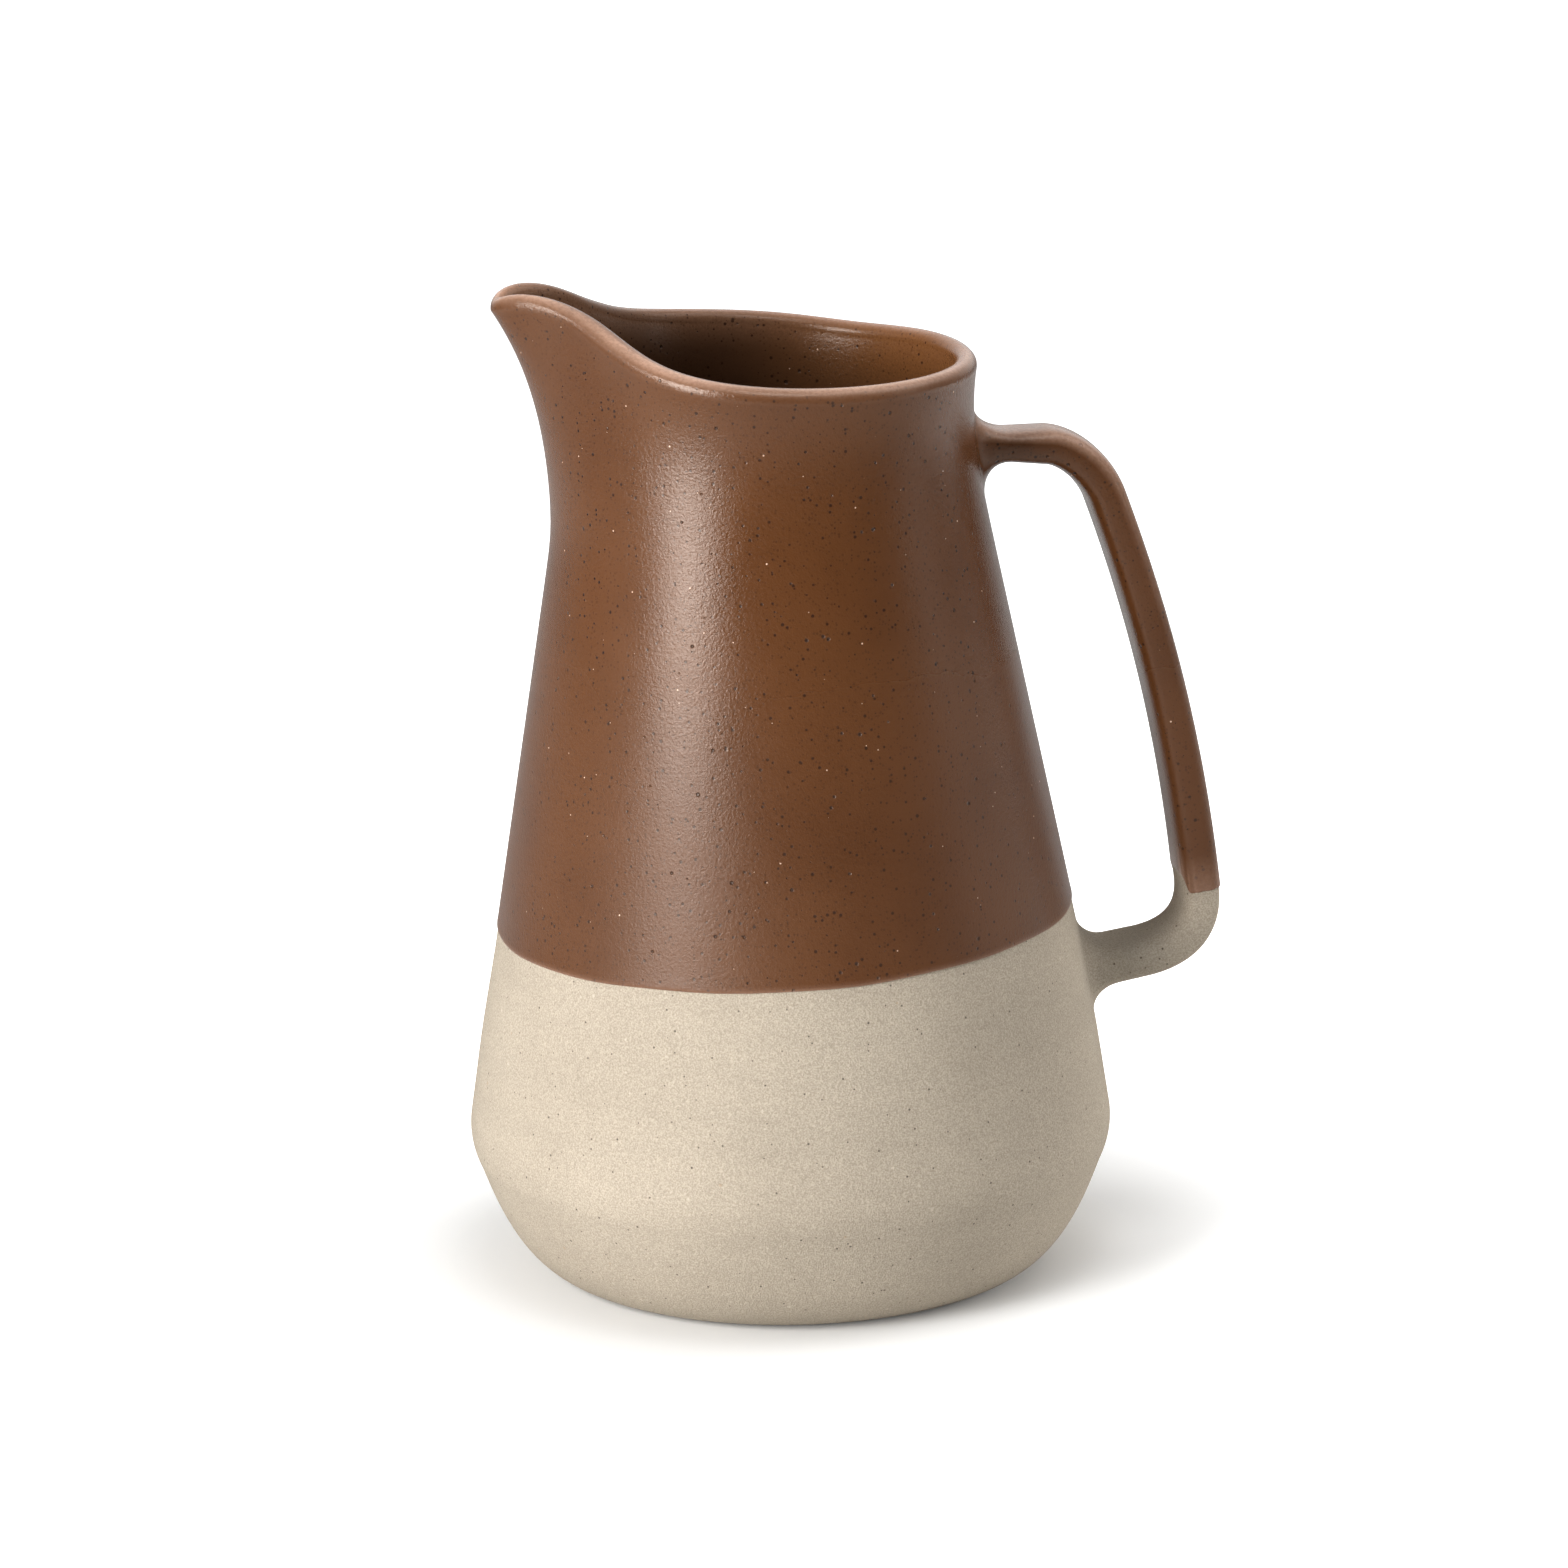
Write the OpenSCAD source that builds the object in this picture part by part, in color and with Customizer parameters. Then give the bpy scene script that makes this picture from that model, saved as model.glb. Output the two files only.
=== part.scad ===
// A stoneware crock jug. The clay body is thrown below and drawn up into a neck with a
// pulled spout. A strap handle is luted on with two worked clay fillets, and three coats
// of glaze cover the outside, the inside and the handle.
// The origin is the middle of the foot on the table. +X points to the handle and -X to
// the spout. But for the slight sway of its rim the jug is the same on both sides of XZ.

/* [Body] */
// Radius of the foot where it meets the table
foot_r = 54.7; // [50:0.1:60]
// Width of the flat ring that the jug stands on
foot_ring_w = 8; // [5:0.5:12]
// Depth of the hollow inside the foot ring
foot_recess = 2; // [1:0.25:3.5]
// Radius of the belly at the corner that its round softens
belly_r = 79.5; // [75:0.1:84]
// Height of the belly
belly_h = 32.8; // [29:0.1:37]
// Half of the height over which the belly is rounded
belly_round = 5.4; // [3:0.1:8]
// Radius of the shoulder, where the drawn-up neck begins
shoulder_r = 71.7; // [68:0.1:75]
// Height of the shoulder
shoulder_h = 80; // [74:1:86]
// Thickness of the wall
wall = 6; // [4:0.25:6.5]
// Thickness of the floor above the hollow of the foot
floor_t = 7; // [5:0.5:10]
// Radius of the round between the wall and the floor inside
floor_round = 9; // [6:0.5:14]

/* [Neck and rim] */
// Height of the rim on the handle side
rim_h = 225.5; // [205:0.5:245]
// Radius that the straight taper of the neck would have at the rim
neck_r = 45; // [41:0.1:48]
// How far the lip turns out past that taper
lip_flare = 6.1; // [3:0.1:8]
// Height of the stretch in which the lip turns out
lip_flare_h = 50; // [36:1:60]
// How far the middle of the rim leans towards the spout
rim_lean = 3.3; // [0:0.1:5]
// How much the rim climbs from the handle to the spout, before the spout itself
rim_climb = 1; // [0:0.25:5]
// How much higher the rim is on the +Y side than midway
rim_sway = 0.6; // [0:0.1:2]
// Depth of the rounding of the lip
lip_round = 2.2; // [1:0.1:3]

/* [Spout] */
// How far the spout is pulled out past the lip
spout_reach = 15.9; // [8:0.1:22]
// How far the front half of the mouth is drawn along towards the spout
mouth_draw = 3.1; // [0:0.1:6]
// Half angle of the part of the mouth that is drawn along
mouth_angle = 70; // [50:1:90]
// How far the spout rises over the rim
spout_rise = 19.2; // [10:0.1:24]
// Height of the stretch of neck that the pull of the spout draws in
spout_draw_h = 61; // [48:1:75]
// Half angle of the spout at its tip, seen from the neck's axis
spout_angle = 22; // [17:0.5:27]
// Half angle of the neck that moves where the pull begins
spout_root_angle = 67.5; // [50:0.5:80]
// Angle from the spout at which the rim has come down half of the rise
rise_angle = 32; // [26:1:40]
// How far the pouring edge dips between the spout's two lips
pour_dip = 3.6; // [0:0.1:5]
// Half angle of that dip
pour_angle = 9; // [6:0.5:12]

/* [Handle] */
// How far the upper arm's middle lies below the rim
upper_root_drop = 22.5; // [18:0.1:28]
// Length of the upper arm, from the neck to its bend
upper_arm = 17.8; // [14:0.2:22]
// Width of the upper bend
upper_bend_w = 14.8; // [11:0.2:18]
// Height of the upper bend
upper_bend_h = 13.2; // [10:0.2:18]
// How far the lower arm's middle lies below the shoulder where it meets the body
lower_root_drop = 10.2; // [6:0.2:14]
// How far the strap's middle stands out from the shoulder at the lower bend
lower_arm = 30.8; // [27:0.2:36]
// Width of the lower bend
lower_bend_w = 15.3; // [11:0.3:17]
// Height of the lower bend
lower_bend_h = 17; // [14:0.5:22]
// Climb of the lower arm from the body to its bend
lower_arm_climb = 2.1; // [0:0.1:4]
// Thickness of the strap at the neck
strap_top_t = 7.8; // [5:0.1:9]
// Thickness of the strap at the belly
strap_low_t = 10.2; // [8:0.1:12]
// Breadth of the strap at the neck
strap_top_w = 15; // [12:0.5:18]
// Breadth of the strap at the belly
strap_low_w = 20; // [16:0.5:24]
// Length of the worked clay fillets along the strap
fillet_l = 8; // [5:0.5:9]
// Size of the fillets on the finger side of the strap
fillet_inner = 10; // [6:0.2:11]
// Size of the fillets on the outer side of the strap
fillet_outer = 6.5; // [4:0.1:8]
// Size of the fillets beside the strap
fillet_side = 3.5; // [2:0.5:5]

/* [Glaze] */
// Thickness of the glaze coats
glaze_t = 0.4; // [0.3:0.05:0.8]
// Height of the glaze line over the shoulder, midway between spout and handle
glaze_rise = 8.5; // [5:0.5:20]
// How much higher the glaze line lies at the handle than at the spout
glaze_tilt = 5.2; // [0:0.2:6]

/* [Hidden] */
clay_colour = "#b3a48c";
glaze_colour = "#7a452b";
liner_colour = "#5e3420";
eps_share = 0.001;

bowl_facets = 128;

// Directions round the neck in degrees from the spout, close together at the channel
channel_end = 18;
channel_steps = 8;
neck_steps = 28;
half_turn = 180;
half_angles = [
    for (i = [0 : channel_steps]) channel_end * i / channel_steps,
    for (i = [1 : neck_steps]) channel_end + (half_turn - channel_end) * i / neck_steps
];
angle_count = len(half_angles);
angles = concat(half_angles, [for (i = [angle_count - 2 : -1 : 1]) 2 * half_turn - half_angles[i]]);

// Places up the neck, as shares of the way from the rim down to the glaze line
outer_depth_shares = [1, 0.72, 0.5, 0.38, 0.29, 0.21, 0.14, 0.085, 0.045];
inner_depth_shares = [0.06, 0.14, 0.24, 0.38, 0.62, 1];
// Places over the rounding of the lip, in degrees from its outer to its inner side
lip_angles = [0, 30, 60, 90, 120, 150, 180];
lip_square_share = 0.5;

function mix(a, b, t) = a + (b - a) * t;
function clamp(x) = max(0, min(1, x));
function bell(x) = exp(-x * x);
function bezier(p, n) = [
    for (i = [0 : n]) let (t = i / n, s = 1 - t)
        s * s * s * p[0] + 3 * s * s * t * p[1] + 3 * s * t * t * p[2] + t * t * t * p[3]
];
function tail(v) = [for (i = [1 : len(v) - 1]) v[i]];
function backwards(v) = [for (i = [len(v) - 1 : -1 : 0]) v[i]];

// The thrown part below the shoulder: its outline as points of radius and height

bowl_steps = 5;
belly_steps = 3;
bowl_lean_share = 0.454;
shoulder_lean_share = 0.15;
neck_slope = (shoulder_r - neck_r) / (rim_h - shoulder_h);
bowl_top = [belly_r - bowl_lean_share * belly_round, belly_h - belly_round];
belly_corner = [belly_r, belly_h];
belly_top = [belly_r - shoulder_lean_share * belly_round, belly_h + belly_round];
shoulder_top = [shoulder_r, shoulder_h];
foot_edge = [foot_r, 0];
bowl_run = bowl_top - foot_edge;
foot_pull_share = 0.62;
foot_lift_share = 0.01;
bowl_pull_share = 0.14;
bowl_curve = bezier([
    foot_edge,
    foot_edge + [bowl_run.x * foot_pull_share, bowl_run.y * foot_lift_share],
    bowl_top - [bowl_lean_share, 1] * bowl_run.y * bowl_pull_share,
    bowl_top], bowl_steps);
belly_pull_share = 0.667;
belly_curve = bezier([
    bowl_top,
    mix(bowl_top, belly_corner, belly_pull_share),
    mix(belly_top, belly_corner, belly_pull_share),
    belly_top], belly_steps);
shoulder_pull_share = 0.6;
shoulder_rise = shoulder_h - belly_top.y;
shoulder_curve = bezier([
    belly_top,
    belly_top + [-shoulder_lean_share, 1] * shoulder_rise * shoulder_pull_share,
    shoulder_top + [neck_slope, -1] * shoulder_rise * shoulder_pull_share,
    shoulder_top], belly_steps);
bowl_outline = concat(bowl_curve, tail(belly_curve), tail(shoulder_curve));
bowl_table = [for (p = bowl_outline) [p.y, p.x]];
function bowl_radius(z) = lookup(z, bowl_table);

// Moves a point of the outline into the wall, square to the outline
function inward(i, d) =
    let (a = bowl_outline[max(i - 1, 0)], b = bowl_outline[min(i + 1, len(bowl_outline) - 1)],
         run = (b - a) / norm(b - a))
    bowl_outline[i] + d * [-run.y, run.x];
floor_h = foot_recess + floor_t;
floor_angles = [30, 60, 90];
// The inside of the bowl for a depth into the wall, from the shoulder down to the floor
function bowl_inside(d) =
    let (low = floor_h + d - wall,
         inset = [for (i = [0 : len(bowl_outline) - 2]) inward(i, d)],
         kept = [for (p = inset) if (p.y > low + floor_round) p],
         end = kept[0],
         corner = [
            for (t = floor_angles)
                [end.x - floor_round * (1 - cos(t)), end.y - (end.y - low) * sin(t)]])
    concat([[shoulder_r - d, shoulder_h]], backwards(kept), corner);

// The neck, drawn up from the shoulder and pulled into the spout

// The angle from the spout, the same on both sides
function off_spout(a) = abs(a) > half_turn ? 2 * half_turn - abs(a) : abs(a);
rise_power_share = 2.6;
function rim_height(a) =
    let (b = off_spout(a))
    rim_h + rim_climb * (1 + cos(a)) / 2 + rim_sway * sin(a)
        + spout_rise / (1 + pow(b / rise_angle, rise_power_share))
        - pour_dip * bell(b / pour_angle);
spout_tip_h = rim_height(0);
spout_start_h = spout_tip_h - spout_draw_h;
pull_power_share = 1.33;
flare_power_share = 3.45;
spread_power_share = 1.22;
nose_round_share = 0.8;
spout_thin_share = 0.35;

function neck_radius(z, depth) =
    shoulder_r - neck_slope * (z - shoulder_h)
        + lip_flare * pow(clamp(1 - depth / lip_flare_h), flare_power_share);
function neck_lean(z) = -rim_lean * max(0, z - shoulder_h) / (rim_h - shoulder_h);
// How far up the pull of the spout a height is, and how much of that pull a place gets
function pull_share(z) = max(0, (z - spout_start_h) / spout_draw_h);
function spout_share(a, z) =
    let (s = pull_share(z),
         spread = mix(spout_angle, spout_root_angle, pow(clamp(1 - s), spread_power_share)),
         t = off_spout(a) / spread)
    pow(s, pull_power_share) * (1 - nose_round_share * t * t) * bell(t);
function spout_pull(a, z) =
    spout_reach * spout_share(a, z)
        + mouth_draw * pow(pull_share(z), 2) * bell(off_spout(a) / mouth_angle);
function neck_point(a, z) =
    let (r = neck_radius(z, rim_height(a) - z))
    [neck_lean(z) - r * cos(a) - spout_pull(a, z), r * sin(a), z];

// The way out of the wall at a place on the neck, level at the shoulder
probe_angle = 0.4;
probe_h = eps_share * rim_h;
function neck_normal(a, z) =
    let (round_way = neck_point(a + probe_angle, z) - neck_point(a - probe_angle, z),
         up_way = neck_point(a, z + probe_h) - neck_point(a, z - probe_h),
         n = cross(up_way, round_way),
         lift = clamp((z - shoulder_h) / lip_flare_h),
         m = [n.x, n.y, n.z * lift])
    m / norm(m);
// A point of the neck, some way into its wall, which is thinner where it is pulled out
function neck_wall(a, z, d) =
    neck_point(a, z) - d * (1 - spout_thin_share * clamp(spout_share(a, z))) * neck_normal(a, z);

function glaze_height(a) = shoulder_h + glaze_rise - glaze_tilt / 2 * cos(a);
function station_height(a, share) = mix(rim_height(a), glaze_height(a), share);
function neck_ring(share, d) = [for (a = angles) neck_wall(a, station_height(a, share), d)];
function level_ring(r, z) = [for (a = angles) [-r * cos(a), r * sin(a), z]];

// The drawn neck grows out of the thrown wall between two depths. It stands in from both
// edges of that wall by a hair, and its root reaches down into the middle of it.
hair = 0.04;
root_h = 1;
root_share = 0.12;
widest_step = (half_turn - channel_end) / neck_steps;
function root_pair(d_out, d_in, side) =
    let (root = shoulder_r + neck_slope * root_h - (d_out + d_in) / 2 + side * root_share * (d_in - d_out),
         edge = side > 0 ? shoulder_r - d_out - hair : (shoulder_r - d_in) / cos(widest_step / 2) + hair)
    [level_ring(root, shoulder_h - root_h), level_ring(edge, shoulder_h)];
function grown(rings, d_out, d_in) =
    concat(root_pair(d_out, d_in, 1), rings, backwards(root_pair(d_out, d_in, -1)));
// A ring over the lip, grown by a coat of some thickness
function lip_ring(turn, coat) =
    let (d = wall / 2 - (wall / 2 + coat) * cos(turn),
         sink = lip_round - (lip_round + coat) * pow(sin(turn), lip_square_share))
    [for (a = angles) neck_wall(a, rim_height(a) - sink, d)];

// Skins a stack of rings. A closed stack joins its last ring to its first, and an open
// one is capped at two given points.
module skin(rings, caps = []) {
    m = len(rings[0]);
    n = len(rings);
    open = len(caps) == 2;
    points = concat([for (r = rings) for (p = r) p], caps);
    sides = [
        for (k = [0 : open ? n - 2 : n - 1]) for (j = [0 : m - 1])
            let (next = (j + 1) % m, above = (k + 1) % n * m)
            each [[k * m + j, k * m + next, above + next], [k * m + j, above + next, above + j]]
    ];
    ends = open ? [
        for (j = [0 : m - 1]) each [
            [n * m, (j + 1) % m, j],
            [n * m + 1, (n - 1) * m + j, (n - 1) * m + (j + 1) % m]]
    ] : [];
    polyhedron(points = points, faces = concat(sides, ends));
}

// The handle: a strap swept along the middle line of the XZ plane

strap_sides = 16;
strap_square_share = 0.62;
function signed_pow(x, p) = sign(x) * pow(abs(x), p);
strap_turns = [for (i = [0 : strap_sides - 1]) 2 * half_turn * i / strap_sides];
strap_unit = [
    for (t = strap_turns) [signed_pow(cos(t), strap_square_share), signed_pow(sin(t), strap_square_share)]
];

upper_root_h = rim_h - upper_root_drop;
upper_root = [neck_point(half_turn, upper_root_h).x, upper_root_h];
upper_sag_share = 0.1;
upper_arm_end = upper_root + [upper_arm, -upper_arm * upper_sag_share];
upper_bend_end = upper_arm_end + [upper_bend_w, -upper_bend_h];
lower_root_h = shoulder_h - lower_root_drop;
lower_arm_end = [shoulder_r + lower_arm - lower_bend_w, lower_root_h + lower_arm_climb];
lower_bend_end = [shoulder_r + lower_arm, lower_arm_end.y + lower_bend_h];
upper_slope_share = 0.366;
lower_slope_share = 0.105;
upper_pull_share = 0.42;
lower_pull_share = 0.627;
grip_pull_share = 0.34;
grip_h = upper_bend_end.y - lower_bend_end.y;
bend_steps = 6;
grip_steps = 8;
upper_bend = bezier([
    upper_arm_end,
    upper_arm_end + [upper_bend_w, -upper_bend_w * upper_sag_share] * upper_pull_share,
    upper_bend_end + [-upper_slope_share, 1] * upper_bend_h * upper_pull_share,
    upper_bend_end], bend_steps);
grip = bezier([
    upper_bend_end,
    upper_bend_end + [upper_slope_share, -1] * grip_h * grip_pull_share,
    lower_bend_end + [-lower_slope_share, 1] * grip_h * grip_pull_share,
    lower_bend_end], grip_steps);
lower_bend = bezier([
    lower_bend_end,
    lower_bend_end + [lower_slope_share, -1] * lower_bend_h * lower_pull_share,
    lower_arm_end + [lower_bend_w, lower_arm_climb] * lower_pull_share,
    lower_arm_end], bend_steps);
strap_line = concat(upper_bend, tail(grip), tail(lower_bend));
grip_end = len(upper_bend) + len(grip) - 2;

// Shares of the fillet's length, from the clay outwards
root_places = [0, 0.12, 0.3, 0.6, 1];
// Shares of the fillet's width where its underside also touches the clay
clay_shares = [0.33, 0.66];
strap_count = len(strap_line);
function strap_t(share) = mix(strap_top_t, strap_low_t, share);
function strap_w(share) = mix(strap_top_w, strap_low_w, share);
function strap_ring(i, coat) =
    let (a = strap_line[max(i - 1, 0)], b = strap_line[min(i + 1, strap_count - 1)],
         way = (b - a) / norm(b - a), out = [-way.y, way.x],
         share = (i + 1) / (strap_count + 1), c = strap_line[i])
    [for (k = [0 : strap_sides - 1])
        let (o = strap_unit[k].y * strap_t(share) / 2 + coat * sin(strap_turns[k]),
             y = strap_unit[k].x * strap_w(share) / 2 + coat * cos(strap_turns[k]))
        [c.x + out.x * o, y, c.y + out.y * o]];

// A root of the strap, on the neck (up is 1) or on the bowl (up is -1), at a share of
// the fillet's length away from the clay, grown by the fillet and by a coat
function bowl_side(y, z) = sqrt(pow(bowl_radius(z), 2) - y * y);
function neck_side(y, z) =
    let (turn = half_turn - asin(y / neck_radius(z, rim_height(half_turn) - z)))
    neck_point(turn, z).x;
function clay_side(y, z) = z > shoulder_h ? neck_side(y, z) : bowl_side(y, z);
function root_growth(place, size) = size * (1 - sqrt(1 - pow(1 - place, 2)));
function root_ring(up, place, filled, coat) =
    let (share = up > 0 ? 0 : 1,
         h = up > 0 ? upper_root_h : lower_root_h,
         climb = up > 0 ? -upper_sag_share : lower_arm_climb / (lower_arm - lower_bend_w))
    [for (k = [0 : strap_sides - 1])
        let (s = sin(strap_turns[k]), c = cos(strap_turns[k]),
             side = filled * root_growth(place, fillet_side) + coat,
             over = filled * root_growth(place, s > 0 ? fillet_outer : fillet_inner) + coat,
             y = strap_unit[k].x * strap_w(share) / 2 + side * c,
             z = h + up * (strap_unit[k].y * strap_t(share) / 2 + over * s) + climb * place * fillet_l)
        [clay_side(y, z) + place * fillet_l, y, z]];
function root_rings(up, filled, coat) = [for (p = root_places) root_ring(up, p, filled, coat)];

// The outline of a fillet where it lies on the clay, seen along X
function root_outline(up, coat) = [for (p = root_ring(up, 0, 1, coat)) [p.y, p.z]];

// The pieces

module thrown_bowl() {
    recess_r = foot_r - foot_ring_w;
    rotate_extrude($fn = bowl_facets)
        polygon(concat(
            bowl_outline,
            bowl_inside(wall),
            [[0, floor_h], [0, foot_recess], [recess_r - foot_recess, foot_recess], [recess_r, 0]]));
}

module drawn_neck() {
    skin(grown(
        concat(
            [for (s = outer_depth_shares) neck_ring(s, 0)],
            [for (t = lip_angles) lip_ring(t, 0)],
            [for (s = inner_depth_shares) neck_ring(s, wall)]),
        0, wall));
}

module stoneware_body() {
    color(clay_colour) {
        thrown_bowl();
        drawn_neck();
    }
}

module handle() {
    color(clay_colour)
        skin(
            concat(
                root_rings(-1, 0, 0),
                [for (i = [strap_count - 1 : -1 : 0]) strap_ring(i, 0)],
                backwards(root_rings(1, 0, 0))),
            [[clay_side(0, lower_root_h), 0, lower_root_h], [upper_root.x, 0, upper_root.y]]);
}

// The fillets feather out on the strap, so their last ring is the strap's own
module root_fillet(up) {
    feathered = [for (p = root_places) if (p < 1) p];
    stack = concat(
        backwards(root_rings(up, 0, 0)),
        [for (s = clay_shares) root_ring(up, 0, s, 0)],
        [for (p = feathered) root_ring(up, p, 1, 0)]);
    skin(up > 0 ? backwards(stack) : stack);
}

module upper_handle_fillet() {
    color(clay_colour) root_fillet(1);
}

module lower_handle_fillet() {
    color(clay_colour) root_fillet(-1);
}

module outer_glaze() {
    lip_half = [for (t = lip_angles) if (t <= half_turn / 2) t];
    color(glaze_colour)
        difference() {
            skin(concat(
                [for (s = outer_depth_shares) neck_ring(s, -glaze_t)],
                [for (t = lip_half) lip_ring(t, glaze_t)],
                [for (t = backwards(lip_half)) lip_ring(t, 0)],
                [for (s = backwards(outer_depth_shares)) neck_ring(s, 0)]));
            rotate([90, 0, 90])
                linear_extrude(shoulder_r)
                    polygon(root_outline(1, glaze_t));
        }
}

module liner_glaze() {
    lip_half = [for (t = lip_angles) if (t >= half_turn / 2) t];
    color(liner_colour) {
        rotate_extrude($fn = bowl_facets)
            polygon(concat(
                bowl_inside(wall),
                [[0, floor_h], [0, floor_h + glaze_t]],
                backwards(bowl_inside(wall + glaze_t))));
        skin(grown(
            concat(
                [for (s = backwards(inner_depth_shares)) neck_ring(s, wall)],
                [for (t = backwards(lip_half)) lip_ring(t, 0)],
                [for (t = lip_half) lip_ring(t, glaze_t)],
                [for (s = inner_depth_shares) neck_ring(s, wall + glaze_t)]),
            wall, wall + glaze_t));
    }
}

module handle_glaze() {
    color(glaze_colour)
        skin(concat(
            root_rings(1, 1, 0),
            [for (i = [0 : grip_end]) strap_ring(i, 0)],
            [for (i = [grip_end : -1 : 0]) strap_ring(i, glaze_t)],
            backwards(root_rings(1, 1, glaze_t))));
}

stoneware_body();
handle();
upper_handle_fillet();
lower_handle_fillet();
outer_glaze();
liner_glaze();
handle_glaze();
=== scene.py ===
# %% [markdown]
# # A stoneware jug, dressed for its portrait
#
# The jug is thrown stoneware with a pulled spout, a strap handle and a satin brown glaze
# over a bare sandy foot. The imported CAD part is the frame: it fixes where each piece is.
# Its meshes have flat facets, so each one is rebuilt here with a finer skin in the same
# place, and gets the finish that the fired pot shows.

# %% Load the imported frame
import math

import bmesh
import bpy
from mathutils import Matrix, Vector, noise


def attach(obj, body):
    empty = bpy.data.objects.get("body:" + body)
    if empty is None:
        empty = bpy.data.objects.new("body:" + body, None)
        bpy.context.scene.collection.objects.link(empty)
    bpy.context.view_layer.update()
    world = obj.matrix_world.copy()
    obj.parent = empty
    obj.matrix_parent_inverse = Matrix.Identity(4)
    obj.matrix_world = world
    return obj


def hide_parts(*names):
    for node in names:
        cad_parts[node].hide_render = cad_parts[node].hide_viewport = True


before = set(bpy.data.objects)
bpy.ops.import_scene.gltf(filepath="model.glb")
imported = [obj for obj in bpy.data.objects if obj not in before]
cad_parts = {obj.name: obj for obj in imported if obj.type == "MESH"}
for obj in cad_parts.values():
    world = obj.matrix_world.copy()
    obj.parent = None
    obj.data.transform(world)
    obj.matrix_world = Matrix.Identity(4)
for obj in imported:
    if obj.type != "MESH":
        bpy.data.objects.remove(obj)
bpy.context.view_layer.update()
scene = bpy.context.scene

# %% [markdown]
# ## The camera
#
# The picture was taken with a long lens from a little above the rim: the rim's ellipse is
# flat and the sides hardly converge. A long lens is matched by its distance and its focal
# length together, which is better than a guess at one of them. The picture leans by about
# one degree, so the camera is rolled by as much about its own line of sight.

# %% Place the camera
CAMERA_DISTANCE = 1.7
CAMERA_HEIGHT_ANGLE = math.radians(14.585)
CAMERA_SIDE_ANGLE = math.radians(9)
CAMERA_ROLL = math.radians(0.934)
FILM_WIDTH_MM = 36
LENS_MM = 160.026
LOOK_HEIGHT = 0.11968
LOOK_SIDE = -0.00027

sight = Vector((
    math.sin(CAMERA_SIDE_ANGLE) * math.cos(CAMERA_HEIGHT_ANGLE),
    math.cos(CAMERA_SIDE_ANGLE) * math.cos(CAMERA_HEIGHT_ANGLE),
    -math.sin(CAMERA_HEIGHT_ANGLE)))
level_right = sight.cross(Vector((0, 0, 1))).normalized()
level_up = level_right.cross(sight)
right = level_right * math.cos(CAMERA_ROLL) - level_up * math.sin(CAMERA_ROLL)
up = level_up * math.cos(CAMERA_ROLL) + level_right * math.sin(CAMERA_ROLL)
look_at = level_right * LOOK_SIDE + Vector((0, 0, LOOK_HEIGHT))

camera_data = bpy.data.cameras.new("portrait_camera")
camera_data.lens = LENS_MM
camera_data.sensor_width = FILM_WIDTH_MM
camera = bpy.data.objects.new("portrait_camera", camera_data)
scene.collection.objects.link(camera)
camera.matrix_world = Matrix.Translation(look_at - sight * CAMERA_DISTANCE) @ Matrix(
    (right, up, -sight)).transposed().to_4x4()
scene.camera = camera
print("camera at", [round(x, 3) for x in camera.matrix_world.translation])

# %% [markdown]
# ## The lamps
#
# A tall soft lamp stands front left and leaves the long soft highlight down the neck, and
# a faint board beside it gives the left edge something pale to mirror. A lamp overhead and
# a broad one high on the right open the shadows, and a thin one on the right draws a
# second, narrow highlight. A low board on the right throws light back on the clay and the
# strap, and gives no reflection, because the real glaze shows none there. All of them are
# area lamps, whose size sets how soft the light is. One even world colour could light the
# jug too, but satin glaze then looks like plastic.

# %% Hang the lamps
MIDDLE = Vector((0, 0, 0.12))


def hang_lamp(name, place, width, height, radiance):
    """Makes a soft rectangular lamp that faces the jug. Radiance 1 is as bright as white
    paper."""
    data = bpy.data.lights.new(name, "AREA")
    data.shape = "RECTANGLE"
    data.size = width
    data.size_y = height
    data.energy = radiance * math.pi * width * height
    lamp = bpy.data.objects.new(name, data)
    scene.collection.objects.link(lamp)
    lamp.location = place
    lamp.rotation_euler = (MIDDLE - Vector(place)).to_track_quat("-Z", "Y").to_euler()
    lamp.visible_camera = False
    return lamp


hang_lamp("tall_soft_lamp", (-1.25, -0.94, 0.68), 0.66, 1.2, 17.5)
hang_lamp("left_board", (-1.2, -0.1, 0.6), 0.8, 0.9, 0.9)
hang_lamp("high_right_lamp", (0.95, 0.12, 1.4), 1.1, 1.1, 1.5)
hang_lamp("overhead_lamp", (0.1, -0.4, 1.5), 0.6, 0.6, 4)
hang_lamp("thin_right_lamp", (1.43, -0.44, 0.45), 0.09, 0.8, 4)
chalk_board = hang_lamp("low_right_board", (1.3, 0.25, 0.25), 0.8, 0.8, 6.5)
chalk_board.visible_glossy = False

# %% [markdown]
# ## Short names for shader steps
#
# A material is a tree of nodes, and most of its branches repeat a few steps: add a node,
# join two sockets, do a sum, ease between two limits, mix two colours. Each step gets a
# short name here, so that a finish further down reads like a recipe. Every helper takes
# the tree that it works in, and most hand on an output socket.

# %% Shader helpers
def add(tree, kind, **settings):
    """Adds a node, and sets the node's own attributes by name."""
    made = tree.nodes.new(kind)
    for key, value in settings.items():
        setattr(made, key, value)
    return made


def wire(tree, source, target):
    """Joins an output to an input, or writes a plain value into the input."""
    if isinstance(source, bpy.types.NodeSocket):
        tree.links.new(source, target)
    else:
        target.default_value = source


def calc(tree, operation, a, b=0.0, clamp=False):
    """One step of arithmetic on values."""
    made = add(tree, "ShaderNodeMath", operation=operation, use_clamp=clamp)
    wire(tree, a, made.inputs[0])
    wire(tree, b, made.inputs[1])
    return made.outputs[0]


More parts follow.
